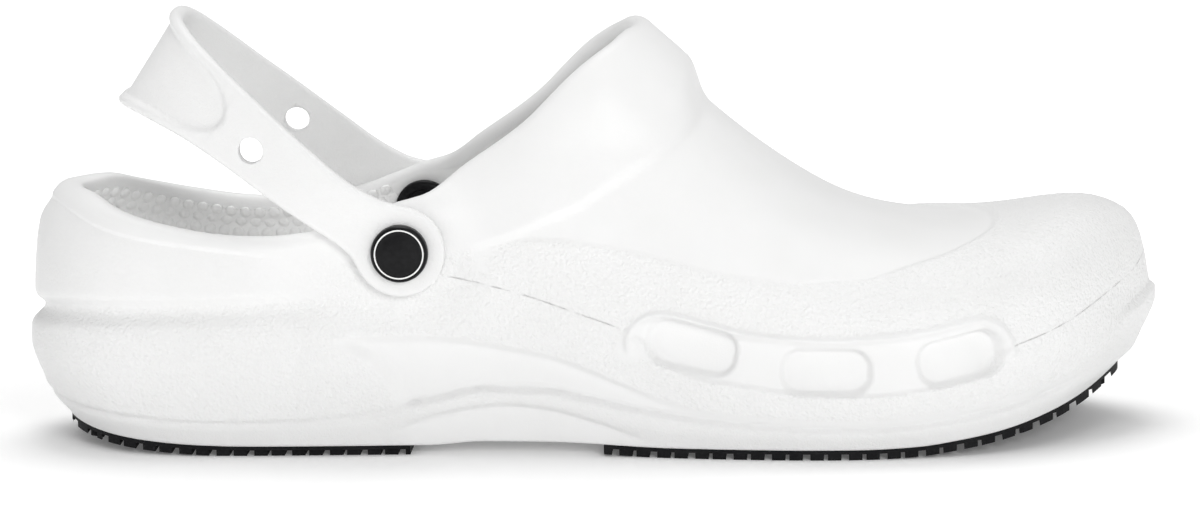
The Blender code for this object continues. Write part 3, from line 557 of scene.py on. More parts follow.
def strap_point(far, half, across, out_far, out_half, outwards):
    """World position from the strap's own plane."""
    p = far + out_far * outwards
    y = half + out_half * outwards
    x = PIVOT_X - p * math.cos(STRAP_TILT) + across * math.sin(STRAP_TILT)
    z = PIVOT_Z + p * math.sin(STRAP_TILT) + across * math.cos(STRAP_TILT)
    return (x, y, z)


# ---------------------------------------------------------------------------
# Fine forms of the body. Lines are in millimetres: distance from the heel end
# and height over the ground, the same on both sides.

# Counts of the grid
FINE_COLUMNS = 560
COLUMN_SAMPLES = 8001
ROW_SAMPLES = 260
LOWER_ROWS = 58
UPPER_ROWS = 80
RIM_STEPS = 12
LINING_STEPS = 18
FILLET_STEPS = 5

# Heights, depths and half widths of the forms
LIP_PROUD = 0.75
LIP_UNDERCUT = 0.9
BAND_DEPTH = 0.85
OVAL_DEPTH = 2.2
OVAL_CORNER = 0.86
BEAD_HEIGHT = 1.05
BEAD_HALF = 1.40
CREASE_STEP = 0.50
CREASE_HALF = 0.9
FAR = 99.0

# Raised lip round the foot of the midsole: its upper line and its lower line
LIP_TOP = (
    # from_heel, height
    (0, 15.6), (12.3, 12.4), (29.8, 10.1), (51.3, 8.6), (79.3, 9.3), (92.9, 11.2), (98.5, 13),
    (108.8, 15.2), (120.1, 17.6), (131.2, 17.8), (142.6, 15.8), (159.4, 12.4), (174.4, 10.2),
    (211.6, 7.8), (222.7, 8.1), (233.6, 9.1), (244.7, 11), (255.8, 12.6), (264.4, 15),
    (275, 19), (290, 27),
)
LIP_FOOT = (
    # from_heel, height
    (0, 5), (60, 2.5), (92, 5.5), (108.6, 10.9), (125.5, 13.2), (136.8, 12), (147.9, 9),
    (159.1, 5.2), (175, 1), (290, 1),
)

# Smooth flute over the lip: upper line, lower line and depth
FLUTE_FORM = (
    # from_heel, top, bottom, depth
    (77, 29.7, 29.6, 0.3), (80.5, 30.4, 29.2, 0.9), (85.7, 31.2, 27.4, 1.6),
    (90, 31.7, 24.6, 2), (93.1, 31.8, 21.6, 2.1), (96.4, 31.8, 17.4, 2.2),
    (98.5, 31.8, 13, 2.2), (105.6, 31.7, 14.6, 2.3), (120.5, 29.8, 17.6, 2.4),
    (137.3, 26.5, 16.8, 2.4), (154.1, 20.1, 13.4, 1.8), (165, 15.8, 11.6, 1.2),
    (174.5, 13.3, 10.2, 0.9), (211.6, 11, 7.8, 0.8), (233.6, 12.3, 9.1, 0.8),
    (255.8, 15.5, 12.6, 0.7), (264.4, 17.6, 15, 0.5), (272, 21, 18.4, 0),
)

# Rounded rear end of the flute
LEAF_END = (
    # from_heel, height
    (75, 29.9), (80, 29.5), (85.7, 27.5), (90, 24.8), (93.1, 21.6), (96.6, 17.2), (99, 13),
    (100.5, 9),
)

# Upper edge of the bumper round the toe, and how far it stands out
TOE_EDGE = (
    # from_heel, height, proud
    (258, 15.5, 0), (264.4, 18, 0.25), (270, 22, 0.6), (277, 27.5, 1), (283, 32, 1.4),
    (290, 36, 1.7),
)

# Lower edge of the raised band round the collar
COLLAR_EDGE = (
    # from_heel, height
    (0, 62.5), (9, 62.2), (14, 60.8), (25, 57.2), (40, 54.4), (52.7, 52.9), (65, 51.5),
    (80, 50), (100, 49.6), (116.3, 52.6), (126.4, 55.5), (136.5, 60), (143.3, 62.8),
    (151.6, 68.1), (158.8, 72.3), (168, 78), (178, 85), (190, 95),
)

# Bead over the blind ovals, and the sunk band that it frames
VENT_BEAD = (
    # from_heel, height
    (156.6, 28.3), (156.5, 30.6), (158, 33.6), (161.4, 36.1), (166.1, 36.8), (174.8, 34.7),
    (187.2, 31.8), (199.5, 30.7), (211.8, 30.5), (229.1, 31.9), (239, 33.8), (244.5, 34.4),
    (248.4, 32.9), (250.8, 29.6), (251.9, 25.6),
)
VENT_FLOOR = (
    # from_heel, height
    (248.9, 24.6), (245.9, 21.2), (240.6, 19.4), (232.3, 18.2), (219.2, 16.8), (201, 17.2),
    (182.9, 19.6), (174.6, 20.9), (167.7, 23.4), (163.1, 26.3), (161, 29.5), (158.6, 31),
)

# Blind ovals: centre, half length, half width, tilt
OVALS = (
    # from_heel, height, half_long, half_wide, degrees
    (172.2, 28.8, 11.5, 6.1, -12), (205.6, 22.7, 11.5, 6, -1), (239.2, 25.2, 10.9, 6, 11),
)

# Parting line of the mould, in two runs
PARTING_REAR = (
    # from_heel, height
    (109.9, 46.3), (120.9, 44), (132, 41), (143.1, 37.2), (151.5, 34.4), (157, 32.2),
)
PARTING_FRONT = (
    # from_heel, height
    (252, 27.4), (265, 31.5), (277.8, 38.1), (283.8, 41.3), (287.8, 46), (289.6, 52),
)

# Crease round the smooth vamp panel: sides by height, front by plan position
CREASE_SIDE = (
    # from_heel, height
    (116, 53), (126, 54.8), (137.8, 55.3), (146, 54.3), (157.5, 52.5), (170.2, 49.5),
    (182.3, 46.8), (195.6, 45), (205.5, 45.2), (217.4, 45.4),
)
CREASE_FRONT = (
    # from_heel, across
    (228.5, -40), (236.3, -34.5), (243.1, -27), (247, -20), (248.4, -12), (247.8, -3),
    (245, 7), (239.5, 17), (232, 26.5), (224.5, 34.5), (216, 41.2),
)


def rounded_line(points, per):
    """Smooth curve through the rows of a table of points."""
    p = np.array(points, float)
    last = len(p) - 1
    out = []
    for i in range(last):
        a, b, c, d = p[max(i - 1, 0)], p[i], p[i + 1], p[min(i + 2, last)]
        for t in np.arange(per) / per:
            out.append(0.5 * (
                2 * b + (c - a) * t + (2 * a - 5 * b + 4 * c - d) * t * t
                + (3 * b - a - 3 * c + d) * t**3
            ))
    out.append(p[-1])
    return np.array(out)


def to_line(spots, line):
    """Distance of each spot from a polyline, in the plane or in space."""
    best = np.full(spots.shape[:-1], 1e9)
    for a, b in zip(line[:-1], line[1:]):
        run = b - a
        share = np.clip(((spots - a) @ run) / max(run @ run, 1e-12), 0, 1)
        gap = spots - a - share[..., None] * run
        best = np.minimum(best, np.sqrt((gap * gap).sum(-1)))
    return best


def inside_of(spots, loop):
    """True where a spot of the plane lies inside a closed loop."""
    x, y = spots[..., 0], spots[..., 1]
    inside = np.zeros(x.shape, bool)
    for a, b in zip(loop, np.roll(loop, -1, axis=0)):
        if a[1] == b[1]:
            continue
        cross = (a[1] > y) != (b[1] > y)
        at = a[0] + (y - a[1]) * (b[0] - a[0]) / (b[1] - a[1])
        inside ^= cross & (x < at)
    return inside


def plan_at_height(at, height, side):
    """Half width of the dome where it has this height, in millimetres."""
    x = np.array([at / 1000 - LENGTH / 2])
    near, far = 0.0, HALF_WIDTH * 1.1
    for _ in range(40):
        middle = (near + far) / 2
        if dome(x, np.array([middle * side]))[0] * 1000 > height:
            near = middle
        else:
            far = middle
    return side * near * 1000


def crease_line():
    """Crease of the vamp panel in space, in millimetres."""
    plan = [(s, plan_at_height(s, h, -1)) for s, h in CREASE_SIDE]
    plan += list(CREASE_FRONT)
    plan += [(s, plan_at_height(s, h + 0.5, 1)) for s, h in CREASE_SIDE[-2::-1]]
    plan = rounded_line(plan, 6)
    x = plan[:, 0] / 1000 - LENGTH / 2
    top = dome(x, plan[:, 1] / 1000) * 1000
    return plan, np.column_stack([plan[:, 0], plan[:, 1], top])


CREASE_PLAN, CREASE_SPACE = crease_line()
BEAD_LINE = rounded_line(VENT_BEAD, 6)
BAND_LOOP = np.concatenate([BEAD_LINE[6:-3], rounded_line(VENT_FLOOR, 4)])
LEAF_LINE = rounded_line(LEAF_END, 4)
PARTING_LINES = (rounded_line(PARTING_REAR, 4), rounded_line(PARTING_FRONT, 4))


def oval_gap(spots, oval):
    """Signed distance from the edge of a blind oval, negative inside."""
    s, h, half_long, half_wide, tilt = oval
    turn = math.radians(tilt)
    du = spots[..., 0] - s
    dv = spots[..., 1] - h
    u = du * math.cos(turn) + dv * math.sin(turn)
    v = dv * math.cos(turn) - du * math.sin(turn)
    corner = half_wide * OVAL_CORNER
    qx = np.abs(u) - (half_long - corner)
    qy = np.abs(v) - (half_wide - corner)
    outer = np.hypot(np.maximum(qx, 0), np.maximum(qy, 0))
    return outer + np.minimum(np.maximum(qx, qy), 0) - corner, u, v


def forms(point, tau):
    """Fine relief over the plain wall in metres, and the masks of the skin."""
    x, y, z = point[..., 0], point[..., 1], point[..., 2]
    s = from_heel(x)
    h = z * 1000
    spots = np.stack([s, h], -1)
    station = station_of(x)
    low = shoulder(station) * 1000
    clear = ease(SEAT_RADIUS, SEAT_RADIUS + SEAT_FADE, seat_distance(x, z))
    out = np.zeros_like(x)
    # groove round the heel, and the bumper below it
    depth = GROOVE_DEPTH * 1000 * (0.55 + 0.45 * ease(0.16, 0.0, station))
    depth = depth * ease(0.35, 0.23, station)
    wide = GROOVE_SPREAD * 1000 * np.where(h > low, 0.75, 1.9 - 0.6 * ease(0.12, 0.0, station))
    out -= depth * np.exp(-((np.abs(h - low) / wide) ** 2.2))
    out += HEEL_BUMPER * 1000 * ease(low - 1, low - 5, h) * ease(0.34, 0.08, station)
    # toe bumper
    edge = row_value(TOE_EDGE, 1, s)
    proud = row_value(TOE_EDGE, 2, s) * ease(256, 268, s)
    out += proud * ease(edge + 0.9, edge - 0.7, h)
    # flute
    top = row_value(FLUTE_FORM, 1, s)
    foot = row_value(FLUTE_FORM, 2, s)
    deep = row_value(FLUTE_FORM, 3, s)
    soft = ease(88, 118, s)
    upper = ease(0, 2.6, top - h)
    rise = np.maximum(top - foot, 0.5)
    rounded = np.zeros_like(s)
    near_leaf = (s > 72) & (s < 122) & (h > 6) & (h < 36)
    rounded[near_leaf] = ease(0.0, 3.0, to_line(spots[near_leaf], LEAF_LINE))
    lower = rounded * (h > foot) * (1 - soft)
    lower = lower + soft * (0.42 + 0.58 * ease(0, 1, (h - foot) / rise)) * (h > foot - 1)
    in_flute = (h < top + 0.2) & (h > foot - 0.4) & (s > 77) & (s < 272)
    out -= deep * upper * lower * in_flute
    # lip round the foot
    lip = row_value(LIP_TOP, 1, s)
    lip_foot = row_value(LIP_FOOT, 1, s)
    below = ease(lip + 0.35, lip - 0.35, h)
    bead = np.clip((h - lip_foot) / np.maximum(lip - lip_foot, 0.5), 0, 1)
    swell = np.sin(math.pi * bead) ** 0.7
    out += LIP_PROUD * swell * (h < lip) * (0.35 + 0.65 * ease(92, 112, s))
    crease = 0.6 + 0.35 * ease(100, 60, s)
    out -= crease * hump(h - lip, 0.6) * ease(276, 255, s)
    out += 0.25 * hump(h - lip - 1.6, 0.9) * ease(92, 60, s)
    under_lip = ease(lip_foot + 0.4, lip_foot - 0.6, h) * ease(94, 104, s) * ease(166, 152, s)
    out -= LIP_UNDERCUT * under_lip
    # sunk band of the ovals, the ovals and the bead over them
    in_zone = (s > 148) & (s < 262) & (h > 8) & (h < 45)
    near_band = np.full_like(s, FAR)
    ring = np.full_like(s, FAR)
    pick = spots[in_zone]
    rim_gap = to_line(pick, np.concatenate([BAND_LOOP, BAND_LOOP[:1]]))
    inner = inside_of(pick, BAND_LOOP)
    near_band[in_zone] = np.where(inner, -rim_gap, rim_gap)
    ring[in_zone] = to_line(pick, BEAD_LINE)
    out -= BAND_DEPTH * ease(0.35, -0.35, near_band)
    wells = np.zeros_like(s)
    for oval in OVALS:
        gap, u, v = oval_gap(spots, oval)
        lean = 0.72 + 0.28 * ease(-9, 9, u) + 0.10 * ease(-5, 5, v)
        lean += 0.40 * ease(2, 9, u) * (oval is OVALS[2])
        wells = np.maximum(wells, ease(0.15, -0.85, gap) * lean)
    out -= OVAL_DEPTH * wells
    round_top = np.clip(1 - (ring / BEAD_HALF) ** 2, 0, 1)
    out += BEAD_HEIGHT * round_top**1.3 * (1 - ease(0.1, 0.6, wells))
    # raised band and roll of the collar
    edge = row_value(COLLAR_EDGE, 1, s)
    front = ease(0.36, 0.42, station)
    step = ease(edge - 0.5 - 0.9 * front, edge + 0.7 + 1.1 * front, h)
    tall = COLLAR_STEP * 1000 * (0.55 + 0.45 * front)
    out += tall * step * ease(0.612, 0.590, station)
    roll = ease(0.076, 0.092, z) * ease(0.607, 0.578, station) * ease(0.42, 0.54, station)
    out += COLLAR_ROLL * 1000 * roll
    # crease round the vamp panel
    on_top = (tau > 0) & (s > 112) & (s < 262)
    gap = np.full_like(s, -FAR)
    place = np.stack([s, y * 1000, h], -1)[on_top]
    away = to_line(place, CREASE_SPACE)
    within = inside_of(place[:, :2], CREASE_PLAN)
    gap[on_top] = np.where(within, away, -away)
    strong = (0.30 + 0.70 * ease(170, 236, s)) * ease(118, 135, s)
    strong = strong * (1 - step * ease(0.40, 0.44, station) * ease(0.63, 0.58, station))
    fade = np.exp(-np.maximum(np.abs(gap) - CREASE_HALF, 0) / np.where(gap > 0, 11, 7))
    drop = -np.sign(gap) * CREASE_STEP * fade
    across = CREASE_STEP * (1 - 2 * ease(-CREASE_HALF, CREASE_HALF, gap))
    out += np.where(np.abs(gap) < CREASE_HALF, across, drop) * strong * on_top
    # masks: coarse grain, fine grain, parting line
    grain = np.ones_like(s)
    grain *= 1 - ease(0.4, -0.2, near_band)
    grain *= 1 - 0.85 * ease(1.7, 1.1, ring)
    tail = np.hypot(s - VENT_BEAD[0][0], h - VENT_BEAD[0][1])
    grain *= 1 - ease(4.0, 2.4, tail)
    grain *= 1 - 0.72 * ease(low - 0.5, low + 1.0, h) * ease(0.31, 0.25, station)
    grain *= 1 - ease(-0.6, 0.8, gap) * (s > 118)
    in_flute = ease(0.2, 0.9, top - h) * ease(-0.6, 0.2, h - foot)
    grain *= 1 - in_flute * ease(79, 84, s) * ease(274, 262, s)
    grain *= 1 - below
    grain *= 1 - step * (0.75 + 0.25 * front)
    grain *= 1 - 0.9 * (tau >= 1)
    fine = below * (1 - under_lip)
    seam = np.zeros_like(s)
    seam_on = np.zeros_like(s)
    for line in PARTING_LINES:
        first, last = line[0, 0], line[-1, 0]
        here = (s > first - 3) & (s < last + 3)
        over = np.sign(h - np.interp(s, line[:, 0], line[:, 1]))
        seam[here] = to_line(spots[here], line) * over[here]
        seam_on += ease(first - 0.2, first + 1, s) * ease(last + 0.2, last - 1, s)
    out = out / 1000 * clear * ease(-1.0, -0.8, tau)
    return out, {"grain": grain, "fine": fine, "seam": seam, "seam_on": seam_on}


def relief(point, tau):
    """Fine relief alone, as the rim and the lining need it."""
    return forms(point, tau)[0]


def spread_columns(count):
    """Angles of the columns, closer together along the ovals."""
    dense = np.linspace(0, math.pi, COLUMN_SAMPLES)
    x = LAST_LENGTH * np.cos(dense) / 2
    reach = np.zeros(COLUMN_SAMPLES)
    for angles in (dense, TAU - dense):
        y = plan_y(angles)
        reach[1:] += np.hypot(np.diff(x), np.diff(y)) / 2
    s = (x + LAST_LENGTH / 2 + HEEL_BUMPER) * 1000
    weight = 1 + 2.6 * ease(147, 153, s) * ease(260, 254, s)
    weight += 0.5 * ease(70, 76, s) * ease(104, 98, s)
    total = running(reach[1:] * (weight[1:] + weight[:-1]) / 2)
    half = np.interp(np.linspace(0, 1, count // 2 + 1) * total[-1], total, dense)
    return np.concatenate([half, TAU - half[-2:0:-1]])


def spread_rows(phi, low, high, count):
    """Heights of the rows of every column, closer together at the lines."""
    tau = np.linspace(low, high, ROW_SAMPLES)
    grid_tau = np.repeat(tau[:, None], len(phi), 1)
    grid_phi = np.repeat(phi[None, :], ROW_SAMPLES, 0)
    point = last_point(grid_phi, grid_tau)
    step = np.linalg.norm(np.diff(point, axis=0), axis=-1)
    s = from_heel(point[..., 0])
    h = point[..., 2] * 1000
    place = np.stack([s, point[..., 1] * 1000, h], -1)
    weight = np.ones_like(s)
    weight += 2.2 * hump(to_line(place, CREASE_SPACE[::3]), 3.0) * (grid_tau > 0)
    beads = ease(150, 156, s) * ease(258, 252, s)
    weight += 2.4 * beads * ease(9, 5, h - shoulder(station_of(point[..., 0])) * 1000)
    weight += hump(h - row_value(COLLAR_EDGE, 1, s), 2.5) * (grid_tau > 0)
    weight += 0.6 * ease(72, 80, h) * ease(0.40, 0.5, station_of(point[..., 0]))
    shifts = np.arange(-8, 9)
    kernel = hump(shifts, 4.0)
    blurred = sum(k * np.roll(weight, n, axis=1) for n, k in zip(shifts, kernel / kernel.sum()))
    total = running(step * (blurred[1:] + blurred[:-1]) / 2)
    wanted = np.linspace(0, 1, count + 1)
    rows = np.empty((count + 1, len(phi)))
    for k in range(len(phi)):
        rows[:, k] = np.interp(wanted * total[-1, k], total[:, k], tau)
    return rows


def link(obj):
    bpy.context.scene.collection.objects.link(obj)
    return obj


def grid_faces(rows, columns, start=0):
    """Quads between successive closed rows."""
    r = np.arange(rows - 1)[:, None]
    k = np.arange(columns)[None, :]
    n = (k + 1) % columns
    a = start + r * columns + k
    b = start + r * columns + n
    return np.stack([a, b, b + columns, a + columns], -1).reshape(-1, 4)


def fine_object(name, points, faces, materials, smooth_angle=None):
    """Mesh object with smooth faces and outward normals."""
    mesh = bpy.data.meshes.new(name)
    spots = [tuple(map(float, p)) for p in points]
    mesh.from_pydata(spots, [], [tuple(map(int, f)) for f in faces])
    work = bmesh.new()
    work.from_mesh(mesh)
    bmesh.ops.recalc_face_normals(work, faces=work.faces)
    work.to_mesh(mesh)
    work.free()
    mesh.polygons.foreach_set("use_smooth", np.ones(len(mesh.polygons), bool))
    if smooth_angle:
        mesh.set_sharp_from_angle(angle=math.radians(smooth_angle))
    for material in materials:
        mesh.materials.append(material)
    return link(bpy.data.objects.new(name, mesh))


def ring_spots(x, y, z, radius, sides):
    """Points of a circle round an axis along Y."""
    turns = TAU * np.arange(sides) / sides
    return [(x + radius * math.cos(a), y, z + radius * math.sin(a)) for a in turns]


def tube_faces(rows, sides):
    """Faces of a tube of closed rows, with a face over each end."""
    faces = [tuple(f) for f in grid_faces(rows, sides)]
    faces.append(tuple(range(sides)))
    faces.append(tuple((rows - 1) * sides + k for k in range(sides)))
    return faces


def cut_out(target, points, faces):
    """Cut a closed shape out of a mesh object."""
    cutter = fine_object("cutter", points, faces, [])
    modifier = target.modifiers.new("cut", "BOOLEAN")
    modifier.operation = "DIFFERENCE"
    modifier.solver = "EXACT"
    modifier.object = cutter
    bpy.context.view_layer.update()
    graph = bpy.context.evaluated_depsgraph_get()
    mesh = bpy.data.meshes.new_from_object(target.evaluated_get(graph))
    target.modifiers.clear()
    target.data = mesh
    bpy.data.objects.remove(cutter)


def keep_mask(obj, name, values):
    """Store one number per vertex for the material."""
    layer = obj.data.attributes.new(name, "FLOAT", "POINT")
    layer.data.foreach_set("value", np.asarray(values, np.float32))


def build_fine_body(materials):
    """The foam body on a fine grid, and the rows that carry its nubs."""
    phi = spread_columns(FINE_COLUMNS)
    lower = spread_rows(phi, -1.0, 0.0, LOWER_ROWS)
    upper = spread_rows(phi, 0.0, 1.0, UPPER_ROWS)
    taus = np.concatenate([lower, upper[1:]])
    grid_phi = np.repeat(phi[None, :], len(taus), 0)
    point, normal = frame_at(grid_phi, taus)
    height, masks = forms(point, taus)
    outer = point + normal * height[..., None]
    rim, thickness = rim_rows(phi, RIM_STEPS)
    inner = lining_rows(phi, thickness, LINING_STEPS, FILLET_STEPS)
    rows = np.concatenate([outer, np.array(rim), np.array(inner)])
    points = [tuple(p) for p in rows.reshape(-1, 3)]
    faces = [tuple(f) for f in grid_faces(len(rows), len(phi))]
    last = (len(rows) - 1) * len(phi)
    close_across(points, faces, range(len(phi)), under, 4)
    close_across(points, faces, range(last, last + len(phi)), footbed, 6)
    obj = fine_object("clog_shell", points, faces, materials)
    rest = len(points) - height.size
    for name, values in masks.items():
        elsewhere = np.full(rest, 9.0 if name == "seam" else 0.0)
        keep_mask(obj, name, np.concatenate([values.ravel(), elsewhere]))
    # mask of the lining, where the foam is painted brighter to stand in for light inside the
    # cup
    lining_painted_light = np.zeros(len(points))
    lining_painted_light[(len(outer) + RIM_STEPS - 1) * len(phi):] = 1
    keep_mask(obj, "lining_painted_light", lining_painted_light)
    return obj, phi, np.array(inner), np.array(rim)


# ---------------------------------------------------------------------------
# Strap, rivets and nubs

# Sections of the strap and sizes of its panel, in metres
STRAP_COLUMNS = 300
STRAP_SHARP = 35
STRAP_CORNER = 0.0012
STRAP_CROWN = 0.00025
PANEL_BEAD = 0.0025
PANEL_SHIFT = 0.0012
PANEL_CORNER = 0.0075
PANEL_LONG = 1.6
HOLE_SIDES = 64


def fine_section(share, along_band):
    """Loop of one section of the strap, dense enough for a rounded panel."""
    upper = row_value(STRAP, 1, share) * EAR_RADIUS
    lower = row_value(STRAP, 2, share) * EAR_RADIUS
    if along_band < 0:
        round_off = math.sqrt(max(1 - (along_band / EAR_RADIUS) ** 2, 0.0))
        upper *= round_off
        lower *= round_off
    tall = (upper - lower) / 2
    middle = (upper + lower) / 2
    half = STRAP_THICKNESS / 2
    proud = half + STRAP_BEAD
    fit = min(1.0, tall / PANEL_CORNER)
    fuller = ease(STRAP_PANEL_AT - 0.008, STRAP_PANEL_AT + 0.004, along_band)
    corner = STRAP_CORNER * fit + 0.0005 * float(fuller)
    loop = []

    def rounded_edge(side, face, first, last, count):
        """side is +1 for the upper edge, face is +1 for the outer face."""
        level = proud - corner if face > 0 else corner - half
        for a in np.radians(np.linspace(first, last, count)):
            across = side * (tall - corner + corner * math.cos(a))
            loop.append((middle + across, level + face * corner * math.sin(a)))

    rounded_edge(1, 1, 0, 90, 6)
    for across in np.linspace(tall - corner, -tall + corner, 44)[1:-1]:
        qx = STRAP_PANEL_AT - PANEL_SHIFT + PANEL_CORNER * PANEL_LONG - along_band
        qy = abs(across) - (tall - PANEL_BEAD - PANEL_CORNER)
        bulge = math.hypot(max(qx, 0) / PANEL_LONG, max(qy, 0))
        gap = bulge + min(max(qx, qy), 0) - PANEL_CORNER
        sunk = float(ease(0.0007, -0.0011, gap)) if tall > 0.006 else 0.0
        crown = STRAP_CROWN * math.cos(across / max(tall, 1e-6) * math.pi / 2)
        crown *= along_band < STRAP_PANEL_AT
        loop.append((middle + across, proud + crown * fit - STRAP_BEAD * sunk))
    rounded_edge(-1, 1, 90, 0, 6)
    rounded_edge(-1, -1, 0, 90, 5)
    for across in np.linspace(-tall + corner, tall - corner, 10)[1:-1]:
        loop.append((middle + across, -half))
    rounded_edge(1, -1, 90, 0, 5)
    return loop


def build_fine_strap(material):
    """Sweep the dense section round the band, then cut its holes."""
    points = []
    sections = 0
    ear = -np.linspace(1, 0, 26)[:-1]
    shares = np.concatenate([ear, np.linspace(0, 1, STRAP_COLUMNS // 2)])
    for side in (-1, 1):
        far, half, length = strap_path(side)
        order = shares if side < 0 else shares[::-1][1:]
        for share in order:
            if share < 0:
                along_band = -EAR_RADIUS * math.sin(-share * math.pi / 2)
            else:
                along_band = share * length[-1]
            along_band = max(along_band, -EAR_RADIUS * 0.9985)
            here, before, after = (
                np.array([np.interp(along_band + step, length, v) for v in (far, half)])
                for step in (0, -0.0004, 0.0004)
            )
            ahead = after - before if share < 1 else np.array([0.0, -1.0])
            outward = unit(np.array([-ahead[1], ahead[0]]))
            flat = float(ease(EAR_RADIUS, EAR_RADIUS * 1.4, along_band))
            outward = unit(outward * flat + np.array([0, 1 - flat]))
            for across, outwards in fine_section(max(share, 0.0), along_band):
                points.append(strap_point(
                    here[0], here[1] * side, across, outward[0], outward[1] * side, outwards
                ))
            sections += 1
    faces = tube_faces(sections, len(points) // sections)
    strap = fine_object("strap_band", points, faces, [material], STRAP_SHARP)
    holes = (
        (-1, STRAP_HOLE_AT, STRAP_HOLE_UP),
        (1, STRAP_HOLE_MEDIAL, STRAP_HOLE_MEDIAL_UP),
    )
    for side, at, up in holes:
        x = PIVOT_X - at * math.cos(STRAP_TILT) + up * math.sin(STRAP_TILT)
        z = PIVOT_Z + at * math.sin(STRAP_TILT) + up * math.cos(STRAP_TILT)
        spots = []
        for y in (0.02 * side, 0.06 * side):
            spots += ring_spots(x, y, z, STRAP_HOLE_RADIUS, HOLE_SIDES)
        cut_out(strap, spots, tube_faces(2, HOLE_SIDES))
    return strap


# Outlines of the rivet head and of the button inside the wall, as shares of
# their radius and height. The white ring is the step after RING_ROW.
HEAD = (
    # radius, height
    (1, 0), (1, 0.45), (0.985, 0.62), (0.955, 0.76), (0.915, 0.84), (0.865, 0.87),
    (0.815, 0.87), (0.8, 0.82), (0.765, 0.8), (0.6, 0.88), (0.4, 0.94), (0.2, 0.98),
    (0.03, 1),
)
RING_ROW = 7
BUTTON = (
    # radius, height
    (1, 0), (1, 0.55), (0.97, 0.78), (0.91, 0.92), (0.84, 1), (0.7, 1), (0.66, 0.8),
    (0.5, 0.8), (0.45, 0.95), (0.04, 1),
)
TURNED_SIDES = 96
TURNED_SHARP = 32


def turned(name, profile, side, materials):
    """Round part on the pivot axis from rows of (radius, distance)."""
    points = []
    for radius, reach in profile:
        points += ring_spots(PIVOT_X, reach * side, PIVOT_Z, radius, TURNED_SIDES)
    faces = tube_faces(len(profile), TURNED_SIDES)
    return fine_object(name, points, faces, materials, TURNED_SHARP)


def build_rivet(name, side, seat, materials):
    """Black head with a thin white ring; its middle is left bare."""
    face = seat + GAP + STRAP_THICKNESS + STRAP_BEAD + GAP
    inner = seat - WALL - BUTTON_GAP
    profile = [(SHAFT_RADIUS, inner - BUTTON_HEIGHT / 2 + GAP), (SHAFT_RADIUS, face)]
    profile += [(RIVET_RADIUS * r, face + RIVET_HEIGHT * h) for r, h in HEAD]
    obj = turned(name, profile, side, materials)
    for k in range(TURNED_SIDES):
        obj.data.polygons[RING_ROW * TURNED_SIDES + k].material_index = 1
    return obj


def build_button(name, side, seat, materials):
    """Black button inside the wall, with raised rings turned on its face."""
    inner = seat - WALL - BUTTON_GAP
    profile = [(SHAFT_RADIUS + GAP, inner - BUTTON_HEIGHT / 2), (SHAFT_RADIUS + GAP, inner)]
    profile += [(BUTTON_RADIUS * r, inner - BUTTON_HEIGHT * h) for r, h in BUTTON]
    return turned(name, profile, side, materials)


# Slits across the rubber pads, in metres
SIPE_WIDTH = 0.0010
SIPE_DEPTH = 0.0015
SIPE_CLEAR = 0.002


def box_shell(points, faces, low, high):
    """Add the corners and faces of one box."""
    start = len(points)
    for z in (low[2], high[2]):
        points += [(low[0], low[1], z), (high[0], low[1], z)]
        points += [(high[0], high[1], z), (low[0], high[1], z)]
    faces += [tuple(start + i for i in quad) for quad in ((0, 1, 2, 3), (4, 5, 6, 7))]
    for i in range(4):
        j = (i + 1) % 4
        faces.append(tuple(start + n for n in (i, j, j + 4, i + 4)))


def build_tread(name, solid, material):
    """The rubber pad with a fine slit across every row of lugs."""
    mesh = solid.data.copy()
    mesh.materials.clear()
    mesh.materials.append(material)
    pad = link(bpy.data.objects.new(name, mesh))
    work = bmesh.new()
    work.from_mesh(mesh)
    bmesh.ops.remove_doubles(work, verts=work.verts, dist=1e-6)
    work.to_mesh(mesh)
    work.free()
    xs = np.array([v.co.x for v in mesh.vertices])
    low, high = xs.min(), xs.max()
    steps = int((high - low) / LUG_PITCH)
    shift = (high - low - steps * LUG_PITCH) / 2
    spots, loops = [], []
    for i in range(-1, steps + 1):
        x = low + shift + LUG_PITCH * (i + 0.5)
        if not low + SIPE_CLEAR < x < high - SIPE_CLEAR:
            continue
        foot = height_at(under, x) - GAP - PAD_THICKNESS
        box_shell(
            spots, loops,
            (x - SIPE_WIDTH / 2, -HALF_WIDTH, foot - SIPE_CLEAR),
            (x + SIPE_WIDTH / 2, HALF_WIDTH, foot + SIPE_DEPTH),
        )
    cut_out(pad, spots, loops)
    for polygon in pad.data.polygons:
        polygon.use_smooth = False
    return pad


# Nubs of the lining and the footbed, in millimetres
NUB_RADIUS = 1.7
NUB_HEIGHT = 0.60
NUB_PITCH = 3.8
NUB_ROW = NUB_PITCH * 0.866
NUB_SPREAD = 1.35
NUB_RINGS = ((1.0, -0.35), (0.86, 0.35), (0.48, 0.86))
NUB_SIDES = 9
NUB_AXIS = (0.31, 0.27, 0.91)
NUB_LINES = 40
NUB_FIRST = 3.0
NUB_FRONT = 92


def nub_faces(points, faces, centre, normal):
    """One low dome on the lining; centre in metres."""
    normal = unit(normal)
    side = unit(np.cross(normal, NUB_AXIS))
    other = np.cross(normal, side)
    start = len(points)
    for radius, lift in NUB_RINGS:
        for angle in TAU * np.arange(NUB_SIDES) / NUB_SIDES:
            reach = side * math.cos(angle) + other * math.sin(angle)
            points.append(
                centre
                + reach * radius * NUB_RADIUS / 1000
                + normal * lift * NUB_HEIGHT / 1000
            )
    points.append(centre + normal * NUB_HEIGHT / 1000)
    faces += [tuple(f) for f in grid_faces(len(NUB_RINGS), NUB_SIDES, start)]
    top = start + (len(NUB_RINGS) - 1) * NUB_SIDES
    for k in range(NUB_SIDES):
        faces.append((top + k, top + (k + 1) % NUB_SIDES, top + NUB_SIDES))
    faces.append(tuple(start + k for k in range(NUB_SIDES))[::-1])


